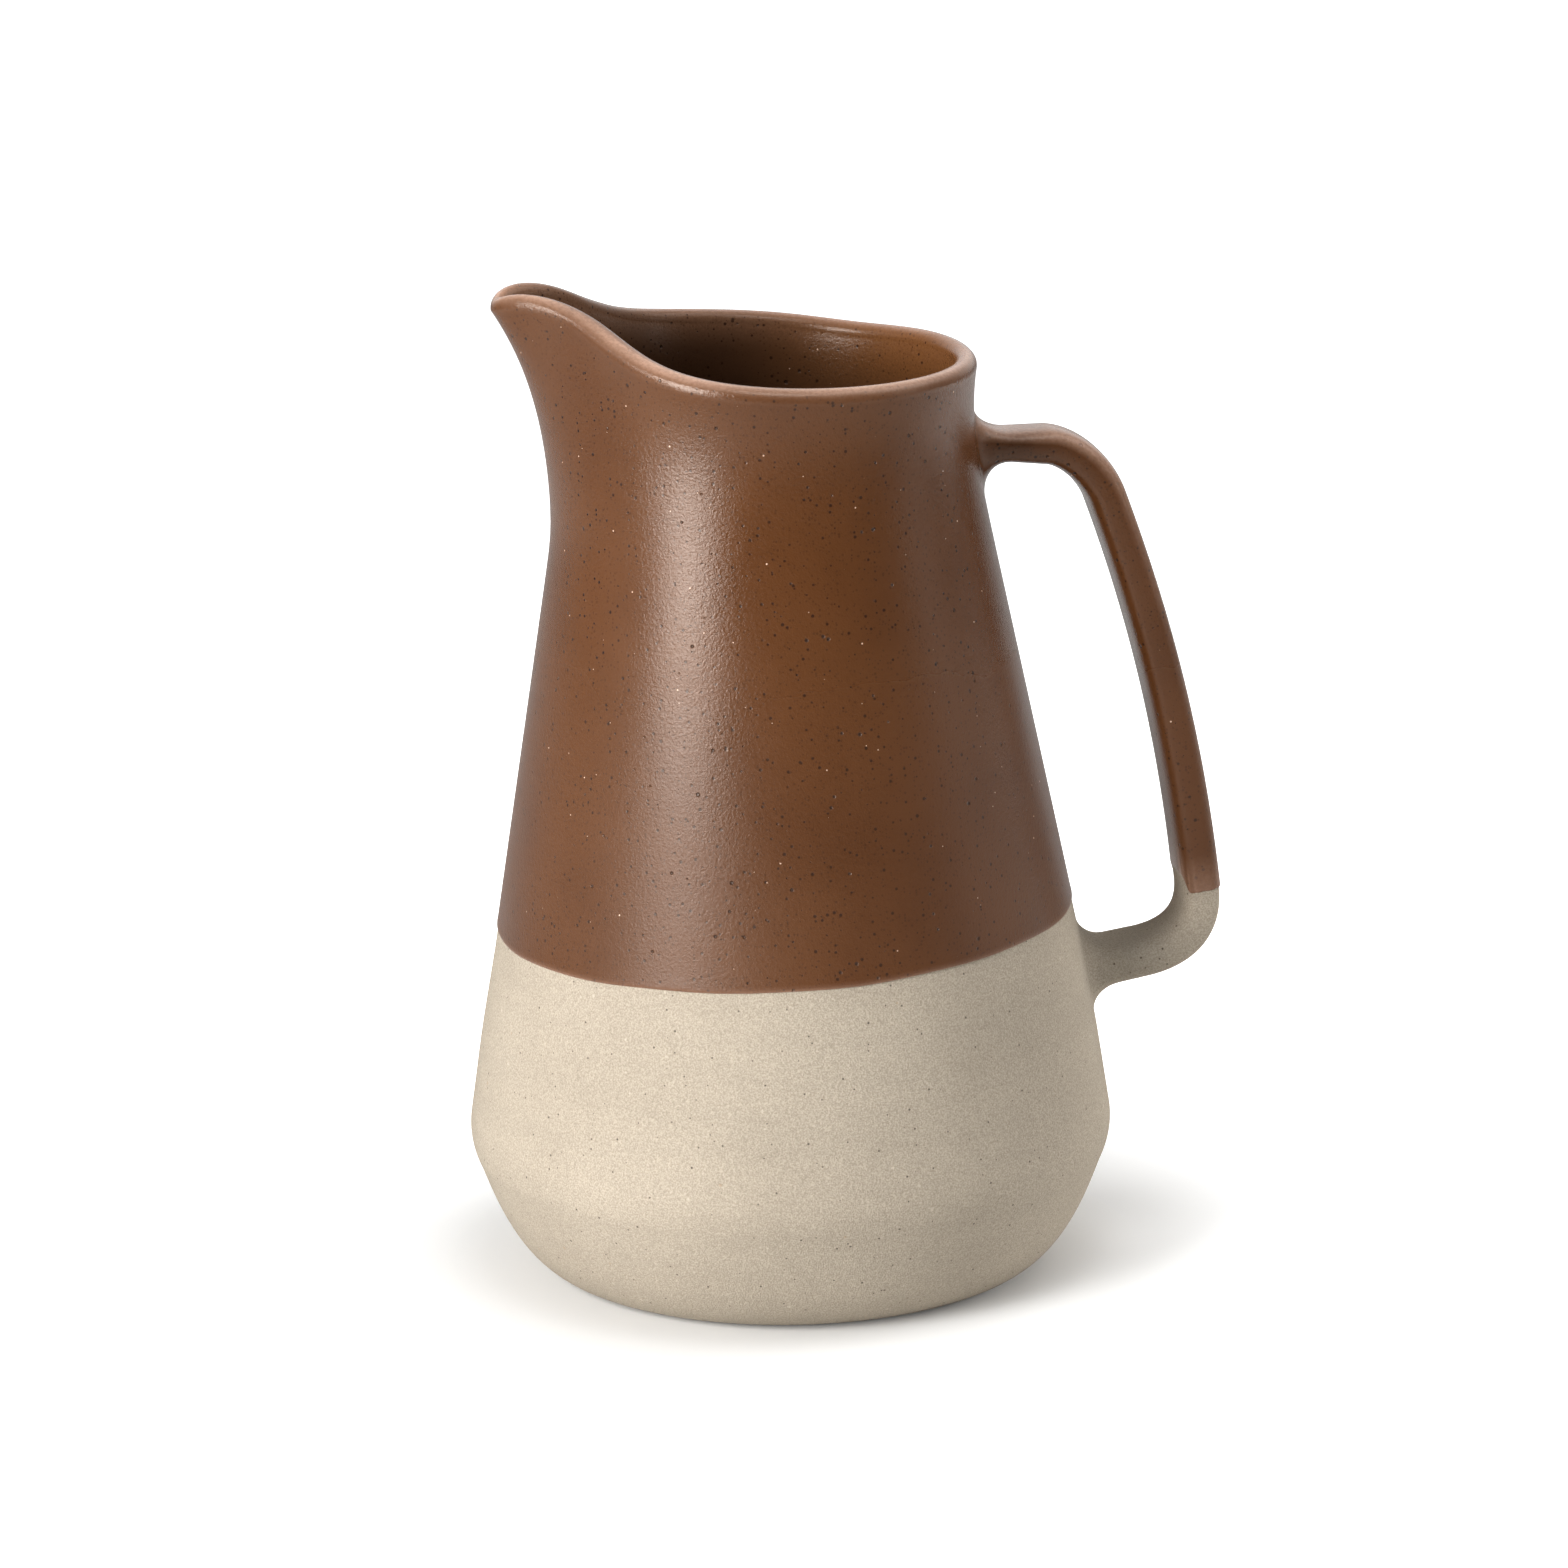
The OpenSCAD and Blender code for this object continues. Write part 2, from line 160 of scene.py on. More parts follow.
def ramp(tree, value, low, high, out_low=0.0, out_high=1.0):
    """A smooth step of a value between two limits."""
    made = add(tree, "ShaderNodeMapRange", interpolation_type="SMOOTHSTEP")
    for socket, source in zip(made.inputs, (value, low, high, out_low, out_high)):
        wire(tree, source, socket)
    return made.outputs[0]


def tint(tree, share, low, high, blend="MIX"):
    """Mixes two colours by a share."""
    made = add(tree, "ShaderNodeMix", data_type="RGBA", blend_type=blend)
    wire(tree, share, made.inputs["Factor"])
    wire(tree, low, made.inputs[6])
    wire(tree, high, made.inputs[7])
    return made.outputs[2]


def axis_of(tree, vector, letter):
    """One coordinate of a vector."""
    made = add(tree, "ShaderNodeSeparateXYZ")
    wire(tree, vector, made.inputs[0])
    return made.outputs[letter]


print("shader helpers ready")

# %% Start a material
def new_finish(name):
    """A new material, with its node tree and its Principled shader."""
    made = bpy.data.materials.new(name)
    made.use_nodes = True
    return made, made.node_tree, made.node_tree.nodes["Principled BSDF"]


def object_place(tree):
    """The place of each point on the jug, in metres."""
    return add(tree, "ShaderNodeTexCoord").outputs["Object"]


print("materials so far:", len(bpy.data.materials))

# %% [markdown]
# ## The room and the sweep
#
# The jug stands on a white sweep in a dim room, and satin glaze mirrors what is round it.
# It stays deep where it faces the room and goes grey at its edge where it faces the
# sweep. The world is told apart by the direction of each ray: a sweep behind the jug, a
# ceiling and a paler side on the right. Light Path shows plain white to the camera, and
# a full white sweep to reflections. The floor is lit by the lamps next to the foot, where
# it holds the shadow, and eases into white further out, as an overexposed sweep does.

# %% Paint the room round the jug
ROOM_DARK = 0.05
SWEEP_GLOW = 0.7
CEILING_GLOW = 0.08
SIDE_GLOW = 0.25
SWEEP_EDGE, CEILING_EDGE, SIDE_EDGE = (0.4, 0.95), (0.35, 0.95), (0.5, 1.0)
WHITE = 1.0

world = bpy.data.worlds.new("studio")
scene.world = world
world.use_nodes = True
room = world.node_tree
room.nodes.clear()
looking = add(room, "ShaderNodeTexCoord").outputs["Generated"]
rays = add(room, "ShaderNodeLightPath").outputs
to_sweep = ramp(room, axis_of(room, looking, "Y"), *SWEEP_EDGE)
to_ceiling = ramp(room, axis_of(room, looking, "Z"), *CEILING_EDGE, ROOM_DARK, CEILING_GLOW)
to_side = ramp(room, axis_of(room, looking, "X"), *SIDE_EDGE, 0.0, SIDE_GLOW)
mirrored = calc(room, "ADD", rays["Is Glossy Ray"], rays["Is Transmission Ray"], clamp=True)
sweep_glow = ramp(room, mirrored, 0.0, 1.0, SWEEP_GLOW, WHITE)
walls_glow = calc(room, "ADD", to_ceiling, to_side)
room_glow = calc(room, "ADD", calc(room, "MULTIPLY", to_sweep, sweep_glow), walls_glow)
strength = add(room, "ShaderNodeMix", data_type="FLOAT")
wire(room, rays["Is Camera Ray"], strength.inputs["Factor"])
wire(room, room_glow, strength.inputs[2])
wire(room, WHITE, strength.inputs[3])
background = add(room, "ShaderNodeBackground")
wire(room, strength.outputs[0], background.inputs["Strength"])
wire(room, background.outputs[0], add(room, "ShaderNodeOutputWorld").inputs[0])
print("world nodes:", len(room.nodes))

# %% Roll out the floor
FLOOR_RADIUS = 6
FLOOR_SIDES = 64

floor_mesh = bmesh.new()
bmesh.ops.create_circle(floor_mesh, cap_ends=True, segments=FLOOR_SIDES, radius=FLOOR_RADIUS)
floor_data = bpy.data.meshes.new("white_floor")
floor_mesh.to_mesh(floor_data)
floor_mesh.free()
floor = bpy.data.objects.new("white_floor", floor_data)
scene.collection.objects.link(floor)
print("floor radius", FLOOR_RADIUS)

# %% Paint the floor
FLOOR_COLOUR = (0.78, 0.78, 0.771, 1)
FLOOR_LIFT = 0.04
SHADOW_REACH = (0.05, 0.18)

paper, sheet, sheet_shader = new_finish("white_sweep")
sheet_shader.inputs["Base Color"].default_value = FLOOR_COLOUR
sheet_shader.inputs["Roughness"].default_value = 0.9
sheet_shader.inputs["Specular IOR Level"].default_value = 0.1
sheet_shader.inputs["Emission Color"].default_value = (1, 1, 1, 1)
away = add(sheet, "ShaderNodeVectorMath", operation="LENGTH")
wire(sheet, object_place(sheet), away.inputs[0])
lift = ramp(sheet, away.outputs["Value"], *SHADOW_REACH, FLOOR_LIFT, WHITE)
seen = add(sheet, "ShaderNodeLightPath").outputs["Is Camera Ray"]
wire(sheet, calc(sheet, "MULTIPLY", lift, seen), sheet_shader.inputs["Emission Strength"])
floor_data.materials.append(paper)
print(paper.name, "nodes:", len(sheet.nodes))

# %% [markdown]
# ## The potter's measures
#
# The neck of the real jug is drawn up straight from the shoulder, and then the lip is
# turned out and one side is pulled into a spout. The same few formulas as in the CAD
# source give that: a height of the rim, a radius of the neck and a pull for each
# direction. Angles are in degrees from the spout and lengths in millimetres.

# %% Sizes and small sums
MM = 0.001
RIM_H = 225.5
NECK_R = 45.0
SHOULDER_R = 71.7
SHOULDER_H = 80.0
WALL = 6.0
COAT = 0.4
LIP_ROUND = 2.7
LIP_SQUARE = 0.7
NECK_SLOPE = (SHOULDER_R - NECK_R) / (RIM_H - SHOULDER_H)


def mix(a, b, share):
    return a + (b - a) * share


def clamp(x):
    return max(0.0, min(1.0, x))


def bell(x):
    return math.exp(-x * x)


def cos_deg(a):
    return math.cos(math.radians(a))


def sin_deg(a):
    return math.sin(math.radians(a))


print("neck slope:", round(NECK_SLOPE, 4))

# %% Heights and radii of the neck
FAR_SIDE_RISE = 0.6
RIM_SWAYS = [(-0.7, 25, 10), (0.4, 65, 35), (-1.2, 127, 22)]  # rise, direction, breadth
SPOUT_CLIMB, CLIMB_BREADTH, CLIMB_POWER = 19.9, 34, 2.6
POUR_DIP, DIP_BREADTH = 3.6, 9
LIP_FLARE, FLARE_DEPTH, FLARE_POWER = 6.1, 50, 3.45


def rim_height(a):
    """The rim climbs to the spout, sways a little, and dips where it pours."""
    sway = FAR_SIDE_RISE * sin_deg(a)
    for rise, direction, breadth in RIM_SWAYS:
        sway += rise * bell((a - direction) / breadth)
    climb = SPOUT_CLIMB / (1 + (abs(a) / CLIMB_BREADTH) ** CLIMB_POWER)
    climb -= POUR_DIP * bell(a / DIP_BREADTH)
    return RIM_H + (1 + cos_deg(a)) / 2 + sway + climb


def neck_radius(z, depth):
    """A straight taper, with the lip turned out over the last stretch below the rim."""
    flare = LIP_FLARE * clamp(1 - depth / FLARE_DEPTH) ** FLARE_POWER
    return SHOULDER_R - NECK_SLOPE * (z - SHOULDER_H) + flare


highest = max(rim_height(a) for a in range(30))
print("rim from", round(rim_height(180), 1), "to", round(highest, 1))

# %% The pull of the spout
SPOUT_DRAW = 61.0
SPOUT_START = rim_height(0) - SPOUT_DRAW
SOFT_START, NO_PULL_BELOW = 0.006, -0.6
LIP_BREADTH, LOW_BREADTH, NARROWING = 22, 67.5, 1.22
PULL_POWER, SIDE_PINCH = 1.33, 0.8


def pull_share(z):
    """From 0 low on the neck to 1 at the rim, with a soft start that leaves no crease."""
    s = (z - SPOUT_START) / SPOUT_DRAW
    return (s + math.sqrt(s * s + SOFT_START)) / 2 if s > NO_PULL_BELOW else 0.0


def spout_share(a, z):
    """How much of the pull a place gets: broad and weak below, narrow at the lip. Beside
    the channel it turns negative, which pinches the neck in."""
    s = pull_share(z)
    t = abs(a) / mix(LIP_BREADTH, LOW_BREADTH, clamp(1 - s) ** NARROWING)
    return s ** PULL_POWER * (1 - SIDE_PINCH * t * t) * bell(t)


print("pull at the rim:", round(spout_share(0, rim_height(0)), 2))

# %% Places on the neck's outside
NECK_LEAN = 3.3
SPOUT_PULL = 15.9
FRONT_PULL, FRONT_BREADTH = 3.1, 70
PROBE_DEGREES, PROBE_HEIGHT = 0.4, 0.2
LEVEL_OVER = 50


def neck_point(a, z):
    """A place on the outside of the neck."""
    r = neck_radius(z, rim_height(a) - z)
    lean = -NECK_LEAN * max(0, z - SHOULDER_H) / (RIM_H - SHOULDER_H)
    pull = SPOUT_PULL * spout_share(a, z)
    pull += FRONT_PULL * pull_share(z) ** 2 * bell(a / FRONT_BREADTH)
    return Vector((lean - r * cos_deg(a) - pull, r * sin_deg(a), z))


def neck_normal(a, z):
    """The way out of the wall, which turns level towards the shoulder."""
    round_way = neck_point(a + PROBE_DEGREES, z) - neck_point(a - PROBE_DEGREES, z)
    up_way = neck_point(a, z + PROBE_HEIGHT) - neck_point(a, z - PROBE_HEIGHT)
    n = up_way.cross(round_way)
    n.z *= clamp((z - SHOULDER_H) / LEVEL_OVER)
    return n.normalized()


print("spout tip at", [round(x, 1) for x in neck_point(0, rim_height(0))])

# %% Places inside the neck's wall
SPOUT_THINNING, HANDLE_THINNING = 0.35, 0.27
THIN_BREADTH, THIN_DEPTH = 55, 25
LEVEL_BELOW_LIP = 7


def neck_wall(a, z, d):
    """A place some way into the wall, which is thinner at the spout and, on its inside, by
    the handle. The lip is rounded level, so the way in turns level just below it."""
    rim = rim_height(a)
    by_handle = bell((180 - abs(a)) / THIN_BREADTH) * clamp(1 - (rim - z) / THIN_DEPTH)
    thin = 1 - SPOUT_THINNING * clamp(spout_share(a, z))
    thin -= HANDLE_THINNING * by_handle * clamp(d)
    low = min(z, rim - LIP_ROUND)
    way = neck_normal(a, low)
    way.z *= clamp((rim - LIP_ROUND - low) / LEVEL_BELOW_LIP)
    return neck_point(a, low) + Vector((0, 0, z - low)) - d * thin * way.normalized()


print("inner edge at the handle:", [round(x, 1) for x in neck_wall(180, rim_height(180), WALL)])

# %% [markdown]
# ## Profiles to throw
#
# Thrown ware is turned, so each shell starts as half a profile that is spun round the
# middle. Every point of a profile carries four values on its vertex: how deep it lies in
# the wall, how far up the neck it belongs, how far it sinks below the rim, and how thin
# the glaze is there, which on the lip's crest also stands for a painted reflection. The
# spin copies these values, so each vertex can then be moved to its place on the drawn
# neck. Sculpting a spun shell could draw the spout too, but the values keep both sides of
# the wall and the glaze on them in step.

# %% The outline of the bowl
FOOT_R = 54.7
BELLY_R = 79.44
BELLY_H = 32.8
BELLY_ROUND = 5.4
BOWL_SLOPE = 0.454
BELLY_SLOPE = 0.15
FOOT_PULL_OUT, FOOT_PULL_UP, BOWL_PULL = 0.62, 0.01, 0.14
CORNER_PULL = 0.667
SHOULDER_PULL = 0.6


def curve_at(p, t):
    """A place on a curve with two end points and two pulls."""
    s = 1 - t
    return s ** 3 * p[0] + 3 * s * s * t * p[1] + 3 * s * t * t * p[2] + t ** 3 * p[3]


def curve(p, n):
    """Points along such a curve, in a number of steps."""
    return [curve_at(p, i / n) for i in range(n + 1)]


foot_edge = Vector((FOOT_R, 0))
bowl_top = Vector((BELLY_R - BOWL_SLOPE * BELLY_ROUND, BELLY_H - BELLY_ROUND))
belly_corner = Vector((BELLY_R, BELLY_H))
belly_top = Vector((BELLY_R - BELLY_SLOPE * BELLY_ROUND, BELLY_H + BELLY_ROUND))
shoulder_top = Vector((SHOULDER_R, SHOULDER_H))
run = bowl_top - foot_edge
rise = SHOULDER_H - belly_top.y
bowl_outline = curve([
    foot_edge,
    foot_edge + Vector((run.x * FOOT_PULL_OUT, run.y * FOOT_PULL_UP)),
    bowl_top - Vector((BOWL_SLOPE, 1)) * run.y * BOWL_PULL,
    bowl_top], 30)
bowl_outline += curve([
    bowl_top,
    mix(bowl_top, belly_corner, CORNER_PULL),
    mix(belly_top, belly_corner, CORNER_PULL),
    belly_top], 15)[1:]
bowl_outline += curve([
    belly_top,
    belly_top + Vector((-BELLY_SLOPE, 1)) * rise * SHOULDER_PULL,
    shoulder_top + Vector((NECK_SLOPE, -1)) * rise * SHOULDER_PULL,
    shoulder_top], 15)[1:]
print("bowl outline points:", len(bowl_outline))

# %% The inside of the bowl
FLOOR_H = 9.0
FLOOR_ROUND = 9.0
LEAST_STEP = 0.4


def bowl_inside(d):
    """The inside of the bowl at a depth in the wall, from the shoulder to the floor."""
    low = FLOOR_H + d - WALL
    inset = []
    for i in range(len(bowl_outline) - 1):
        way = (bowl_outline[i + 1] - bowl_outline[max(i - 1, 0)]).normalized()
        inset.append(bowl_outline[i] + d * Vector((-way.y, way.x)))
    made = [Vector((SHOULDER_R - d, SHOULDER_H))]
    for p in reversed(inset):
        if p.y > low + FLOOR_ROUND and p.y < made[-1].y - LEAST_STEP:
            made.append(p)
    end = made[-1]
    for t in range(10, 91, 10):
        inwards = FLOOR_ROUND * (1 - cos_deg(t))
        made.append(Vector((end.x - inwards, end.y - (end.y - low) * sin_deg(t))))
    return made


print("points inside:", len(bowl_inside(WALL)))

# %% Points that know their place in the wall
OUTER_TURNS = [0, 0.7, 2.5, 6, 11, 18, 27, 38, 50, 63, 76, 90]
INNER_TURNS = [180 - t for t in reversed(OUTER_TURNS)]
NECK_TOP = 0.975
# The thin value peaks near the crest, where it also paints a reflection.
THIN_AND_SHEEN_TURN, THIN_AND_SHEEN_SPREAD = 84, 44


def thrown(r, z):
    """A point of the turned bowl, which stays where it is."""
    return dict(r=r, z=z, depth=0.0, climb=-1.0, sink=0.0, thin=0.0)


def thrown_all(points):
    return [thrown(p.x, p.y) for p in points]


def drawn(depth, climb, sink=0.0, thin=0.0):
    """A point of the neck, whose place is worked out after the spin."""
    z = SHOULDER_H + (RIM_H - SHOULDER_H) * climb - sink
    r = neck_radius(z, RIM_H - z) - depth
    return dict(r=r, z=z, depth=depth, climb=climb, sink=sink, thin=thin)


def neck_rows(depth, count, low=0.0):
    """Rows up the neck, closer together towards the lip."""
    return [drawn(depth, low + (NECK_TOP - low) * math.sin(math.pi / 2 * i / count))
            for i in range(count + 1)]


def lip_rows(turns, coat):
    """Rows over the rounding of the lip, with the glaze thinnest near its crest. There the
    thin value also paints a reflection on the crest.
    """
    made = []
    for t in turns:
        depth = WALL / 2 - (WALL / 2 + coat) * cos_deg(t)
        sink = LIP_ROUND - (LIP_ROUND + coat) * sin_deg(t) ** LIP_SQUARE
        made.append(drawn(depth, 1.0, sink, thin=bell((t - THIN_AND_SHEEN_TURN) / THIN_AND_SHEEN_SPREAD)))
    return made


print("rows over the lip:", len(OUTER_TURNS) + len(INNER_TURNS) - 1)

# %% Spin a profile and draw up its neck
SPIN_STEPS = 320
LAYERS = ("depth", "climb", "sink", "thin")
SPIN_WELD = 1e-7


def throw(profile, foot_line, closed):
    """Spins a profile round the middle, then moves its neck to the drawn shape. The foot
    line gives the height at which the neck starts in each direction."""
    shell = bmesh.new()
    layers = {key: shell.verts.layers.float.new(key) for key in LAYERS}
    verts = []
    for point in profile:
        v = shell.verts.new((-point["r"] * MM, 0, point["z"] * MM))
        for key in LAYERS:
            v[layers[key]] = point[key]
        verts.append(v)
    pairs = list(zip(verts, verts[1:])) + ([(verts[-1], verts[0])] if closed else [])
    edges = [shell.edges.new(pair) for pair in pairs]
    bmesh.ops.spin(shell, geom=verts + edges, cent=(0, 0, 0), axis=(0, 0, 1),
                   angle=2 * math.pi, steps=SPIN_STEPS, use_merge=True)
    bmesh.ops.remove_doubles(shell, verts=shell.verts, dist=SPIN_WELD)
    for v in shell.verts:
        climb = v[layers["climb"]]
        if climb < 0:
            continue
        a = math.degrees(math.atan2(v.co.y, -v.co.x))
        z = mix(foot_line(a), rim_height(a), climb) - v[layers["sink"]]
        v.co = neck_wall(a, z, v[layers["depth"]]) * MM
    bmesh.ops.recalc_face_normals(shell, faces=shell.faces)
    return shell


def shoulder_line(a):
    """The neck of the clay starts at the shoulder, level all round."""
    return SHOULDER_H


print("spin steps:", SPIN_STEPS)

# %% Finish a piece
SPUN_CREASE = 40
STRAP_CREASE = 60


def finish_piece(name, shell, node, material, crease):
    """Writes a shell to an object that stands for a CAD node and rides on the jug. Edges
    sharper than the crease, in degrees, stay sharp."""
    for e in shell.edges:
        e.smooth = len(e.link_faces) == 2 and e.calc_face_angle() < math.radians(crease)
    for f in shell.faces:
        f.smooth = True
    data = bpy.data.meshes.new(name)
    shell.to_mesh(data)
    shell.free()
    data.materials.append(material)
    piece = bpy.data.objects.new(name, data)
    scene.collection.objects.link(piece)
    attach(piece, "root")
    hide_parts(node)
    print(name, "faces:", len(data.polygons))


print("edges stay sharp past", SPUN_CREASE, "and", STRAP_CREASE, "degrees")

# %% [markdown]
# ## Effects that the finishes share
#
# Fired stoneware is never one colour. Iron in the clay bleeds through as dark specks, the
# body has a sandy grain, the fire leaves slow clouds, and gas leaves pinholes in glaze.
# Each effect is a node group of its own, so clay and glaze use the same one with their
# own sizes. The patterns read Object coordinates, so they run on from piece to piece.

# %% Node group: scattered specks
def start_group(title, inputs, outputs):
    """A shader node group with named inputs and outputs."""
    made = bpy.data.node_groups.new(title, "ShaderNodeTree")
    made.interface.new_socket(name="Vector", in_out="INPUT", socket_type="NodeSocketVector")
    for label, value in inputs:
        socket = made.interface.new_socket(
            name=label, in_out="INPUT", socket_type="NodeSocketFloat")
        socket.default_value = value
    for label in outputs:
        made.interface.new_socket(name=label, in_out="OUTPUT", socket_type="NodeSocketFloat")
    return made, add(made, "NodeGroupInput").outputs, add(made, "NodeGroupOutput").inputs


specks, given, asked = start_group(
    "Scattered specks", [("Cells per metre", 400.0), ("Size", 0.2), ("Kept", 0.3)], ["Mask"])
LEAST_LUCK, FULL_PART = 0.4, 0.45
cells = add(specks, "ShaderNodeTexVoronoi")
wire(specks, given["Vector"], cells.inputs["Vector"])
wire(specks, given["Cells per metre"], cells.inputs["Scale"])
chance = add(specks, "ShaderNodeSeparateColor")
wire(specks, cells.outputs["Color"], chance.inputs[0])
luck = calc(specks, "ADD", chance.outputs["Green"], LEAST_LUCK)
grown = calc(specks, "MULTIPLY", given["Size"], luck)
core = calc(specks, "MULTIPLY", grown, FULL_PART)
dot = ramp(specks, cells.outputs["Distance"], grown, core)
wanted = calc(specks, "LESS_THAN", chance.outputs["Red"], given["Kept"])
wire(specks, calc(specks, "MULTIPLY", dot, wanted), asked["Mask"])
print(specks.name, "nodes:", len(specks.nodes))

# %% Node group: sandy grain and fired clouds
CLOUDS_PER_METRE = 22
GRAIN_EDGE, CLOUD_EDGE = (0.3, 0.7), (0.32, 0.68)

grain, given, asked = start_group(
    "Sandy grain", [("Grains per metre", 900.0)], ["Grain", "Clouds"])
fine = add(grain, "ShaderNodeTexNoise")
fine.inputs["Detail"].default_value = 3
fine.inputs["Roughness"].default_value = 0.65
wire(grain, given["Vector"], fine.inputs["Vector"])
wire(grain, given["Grains per metre"], fine.inputs["Scale"])
slow = add(grain, "ShaderNodeTexNoise")
slow.inputs["Detail"].default_value = 4
slow.inputs["Scale"].default_value = CLOUDS_PER_METRE
wire(grain, given["Vector"], slow.inputs["Vector"])
wire(grain, ramp(grain, fine.outputs["Fac"], *GRAIN_EDGE), asked["Grain"])
wire(grain, ramp(grain, slow.outputs["Fac"], *CLOUD_EDGE), asked["Clouds"])
print(grain.name, "nodes:", len(grain.nodes))

# %% Node group: throwing lines
LEVEL_STRETCH = (0.06, 0.06, 1)

lines, given, asked = start_group(
    "Throwing lines", [("Rings per metre", 160.0)], ["Height"])
flat = add(lines, "ShaderNodeMapping")
flat.inputs["Scale"].default_value = LEVEL_STRETCH
wire(lines, given["Vector"], flat.inputs["Vector"])
wavy = add(lines, "ShaderNodeTexNoise")
wavy.inputs["Detail"].default_value = 2
wire(lines, flat.outputs[0], wavy.inputs["Vector"])
wire(lines, given["Rings per metre"], wavy.inputs["Scale"])
wire(lines, wavy.outputs["Fac"], asked["Height"])
print(lines.name, "nodes:", len(lines.nodes))

# %% Lay the effects on a surface
def place_group(tree, group, vector, **values):
    """Places a node group in a material with its own values."""
    made = add(tree, "ShaderNodeGroup", node_tree=group)
    wire(tree, vector, made.inputs["Vector"])
    for key, value in values.items():
        made.inputs[key.replace("_", " ")].default_value = value
    return made.outputs


def paint(tree, colour, mask, share, over):
    """Paints a second colour over the first where a mask shows, by a share."""
    return tint(tree, calc(tree, "MULTIPLY", mask, share), colour, over)


def speckle(tree, colour, where, kinds):
    """Paints kind after kind of speck, each with its cells per metre, size, share kept,
    strength and colour. Hands on the colour and the masks."""
    masks = {}
    for kind, (per_metre, size, kept, share, over) in kinds.items():
        masks[kind] = place_group(
            tree, specks, where, Cells_per_metre=per_metre, Size=size, Kept=kept)["Mask"]
        colour = paint(tree, colour, masks[kind], share, over)
    return colour, masks


def relief(tree, shader, height, distance):
    """Raises the surface by a height, over a real distance in metres."""
    made = add(tree, "ShaderNodeBump")
    made.inputs["Strength"].default_value = 1.0
    made.inputs["Distance"].default_value = distance
    wire(tree, height, made.inputs["Height"])
    wire(tree, made.outputs[0], shader.inputs["Normal"])


print("node groups:", [group.name for group in bpy.data.node_groups])

# %% [markdown]
# ## Bare clay
#
# Below the glaze the jug shows its warm sand-coloured body: fine bright and dark grains, a
# few iron specks, faint rings from throwing, and a greyer patch round the strap's lower
# root. A plain noise could colour it, but several effects at their own real sizes read as
# clay from near and from far.

# %% Material: the colour of raw stoneware
CLAY_COOL = (0.393, 0.336, 0.265, 1)
CLAY_WARM = (0.433, 0.372, 0.295, 1)
DARK_GRAIN = (0.74, 0.73, 0.705, 1)
BRIGHT_GRAIN = (1.2, 1.2, 1.2, 1)
# A greyer patch round the strap's lower root.
GREY_PATCH_CLAY = (0.36, 0.335, 0.29, 1)
GREY_PATCH_PLACE, GREY_PATCH_REACH, GREY_PATCH_SHARE = (0.083, -0.012, 0.068), (0.026, 0.006), 0.55
RING_EDGE, RING_SHADE = (0.35, 0.65), (0.98, 1.015)
CLAY_SPECKS = {
    "pale": (330.0, 0.16, 0.2, 0.35, (0.72, 0.64, 0.52, 1)),
    "rust": (210.0, 0.1, 0.16, 0.4, (0.36, 0.23, 0.13, 1)),
    "iron": (420.0, 0.12, 0.8, 0.85, (0.07, 0.052, 0.04, 1)),
}


def grey(tree, value):
    """One value as a colour."""
    made = add(tree, "ShaderNodeCombineColor")
    for part in made.inputs:
        wire(tree, value, part)
    return made.outputs[0]


raw, clay, clay_shader = new_finish("raw_stoneware")
where = object_place(clay)
sand = place_group(clay, grain, where, Grains_per_metre=2400.0)
turned = place_group(clay, lines, where, Rings_per_metre=150.0)
colour = tint(clay, sand["Clouds"], CLAY_COOL, CLAY_WARM)
colour = tint(clay, sand["Grain"], tint(clay, 1.0, colour, DARK_GRAIN, "MULTIPLY"),
              tint(clay, 1.0, colour, BRIGHT_GRAIN, "MULTIPLY"))
band = ramp(clay, turned["Height"], *RING_EDGE, *RING_SHADE)
colour = tint(clay, 1.0, colour, grey(clay, band), "MULTIPLY")
root_way = add(clay, "ShaderNodeVectorMath", operation="DISTANCE")
wire(clay, where, root_way.inputs[0])
wire(clay, GREY_PATCH_PLACE, root_way.inputs[1])
near_root = ramp(clay, root_way.outputs["Value"], *GREY_PATCH_REACH)
grey_patch = calc(clay, "MULTIPLY", near_root, sand["Clouds"])
colour = paint(clay, colour, grey_patch, GREY_PATCH_SHARE, GREY_PATCH_CLAY)
colour, clay_masks = speckle(clay, colour, where, CLAY_SPECKS)
wire(clay, colour, clay_shader.inputs["Base Color"])
print(raw.name, "kinds of speck:", list(clay_masks))

# %% Material: the surface of raw stoneware
CLAY_RELIEF = 0.0002
CLAY_SHINE = 0.3
CLAY_ROUGHNESS = (0.78, 0.92)
GRIT_HEIGHT, RING_HEIGHT = 0.35, 0.35

roughness = ramp(clay, sand["Grain"], 0.0, 1.0, *CLAY_ROUGHNESS)
wire(clay, roughness, clay_shader.inputs["Roughness"])
clay_shader.inputs["Specular IOR Level"].default_value = CLAY_SHINE
grit = calc(clay, "MULTIPLY", sand["Grain"], GRIT_HEIGHT)
ridges = calc(clay, "MULTIPLY", turned["Height"], RING_HEIGHT)
relief(clay, clay_shader, calc(clay, "ADD", grit, ridges), CLAY_RELIEF)
print(raw.name, "nodes:", len(clay.nodes))

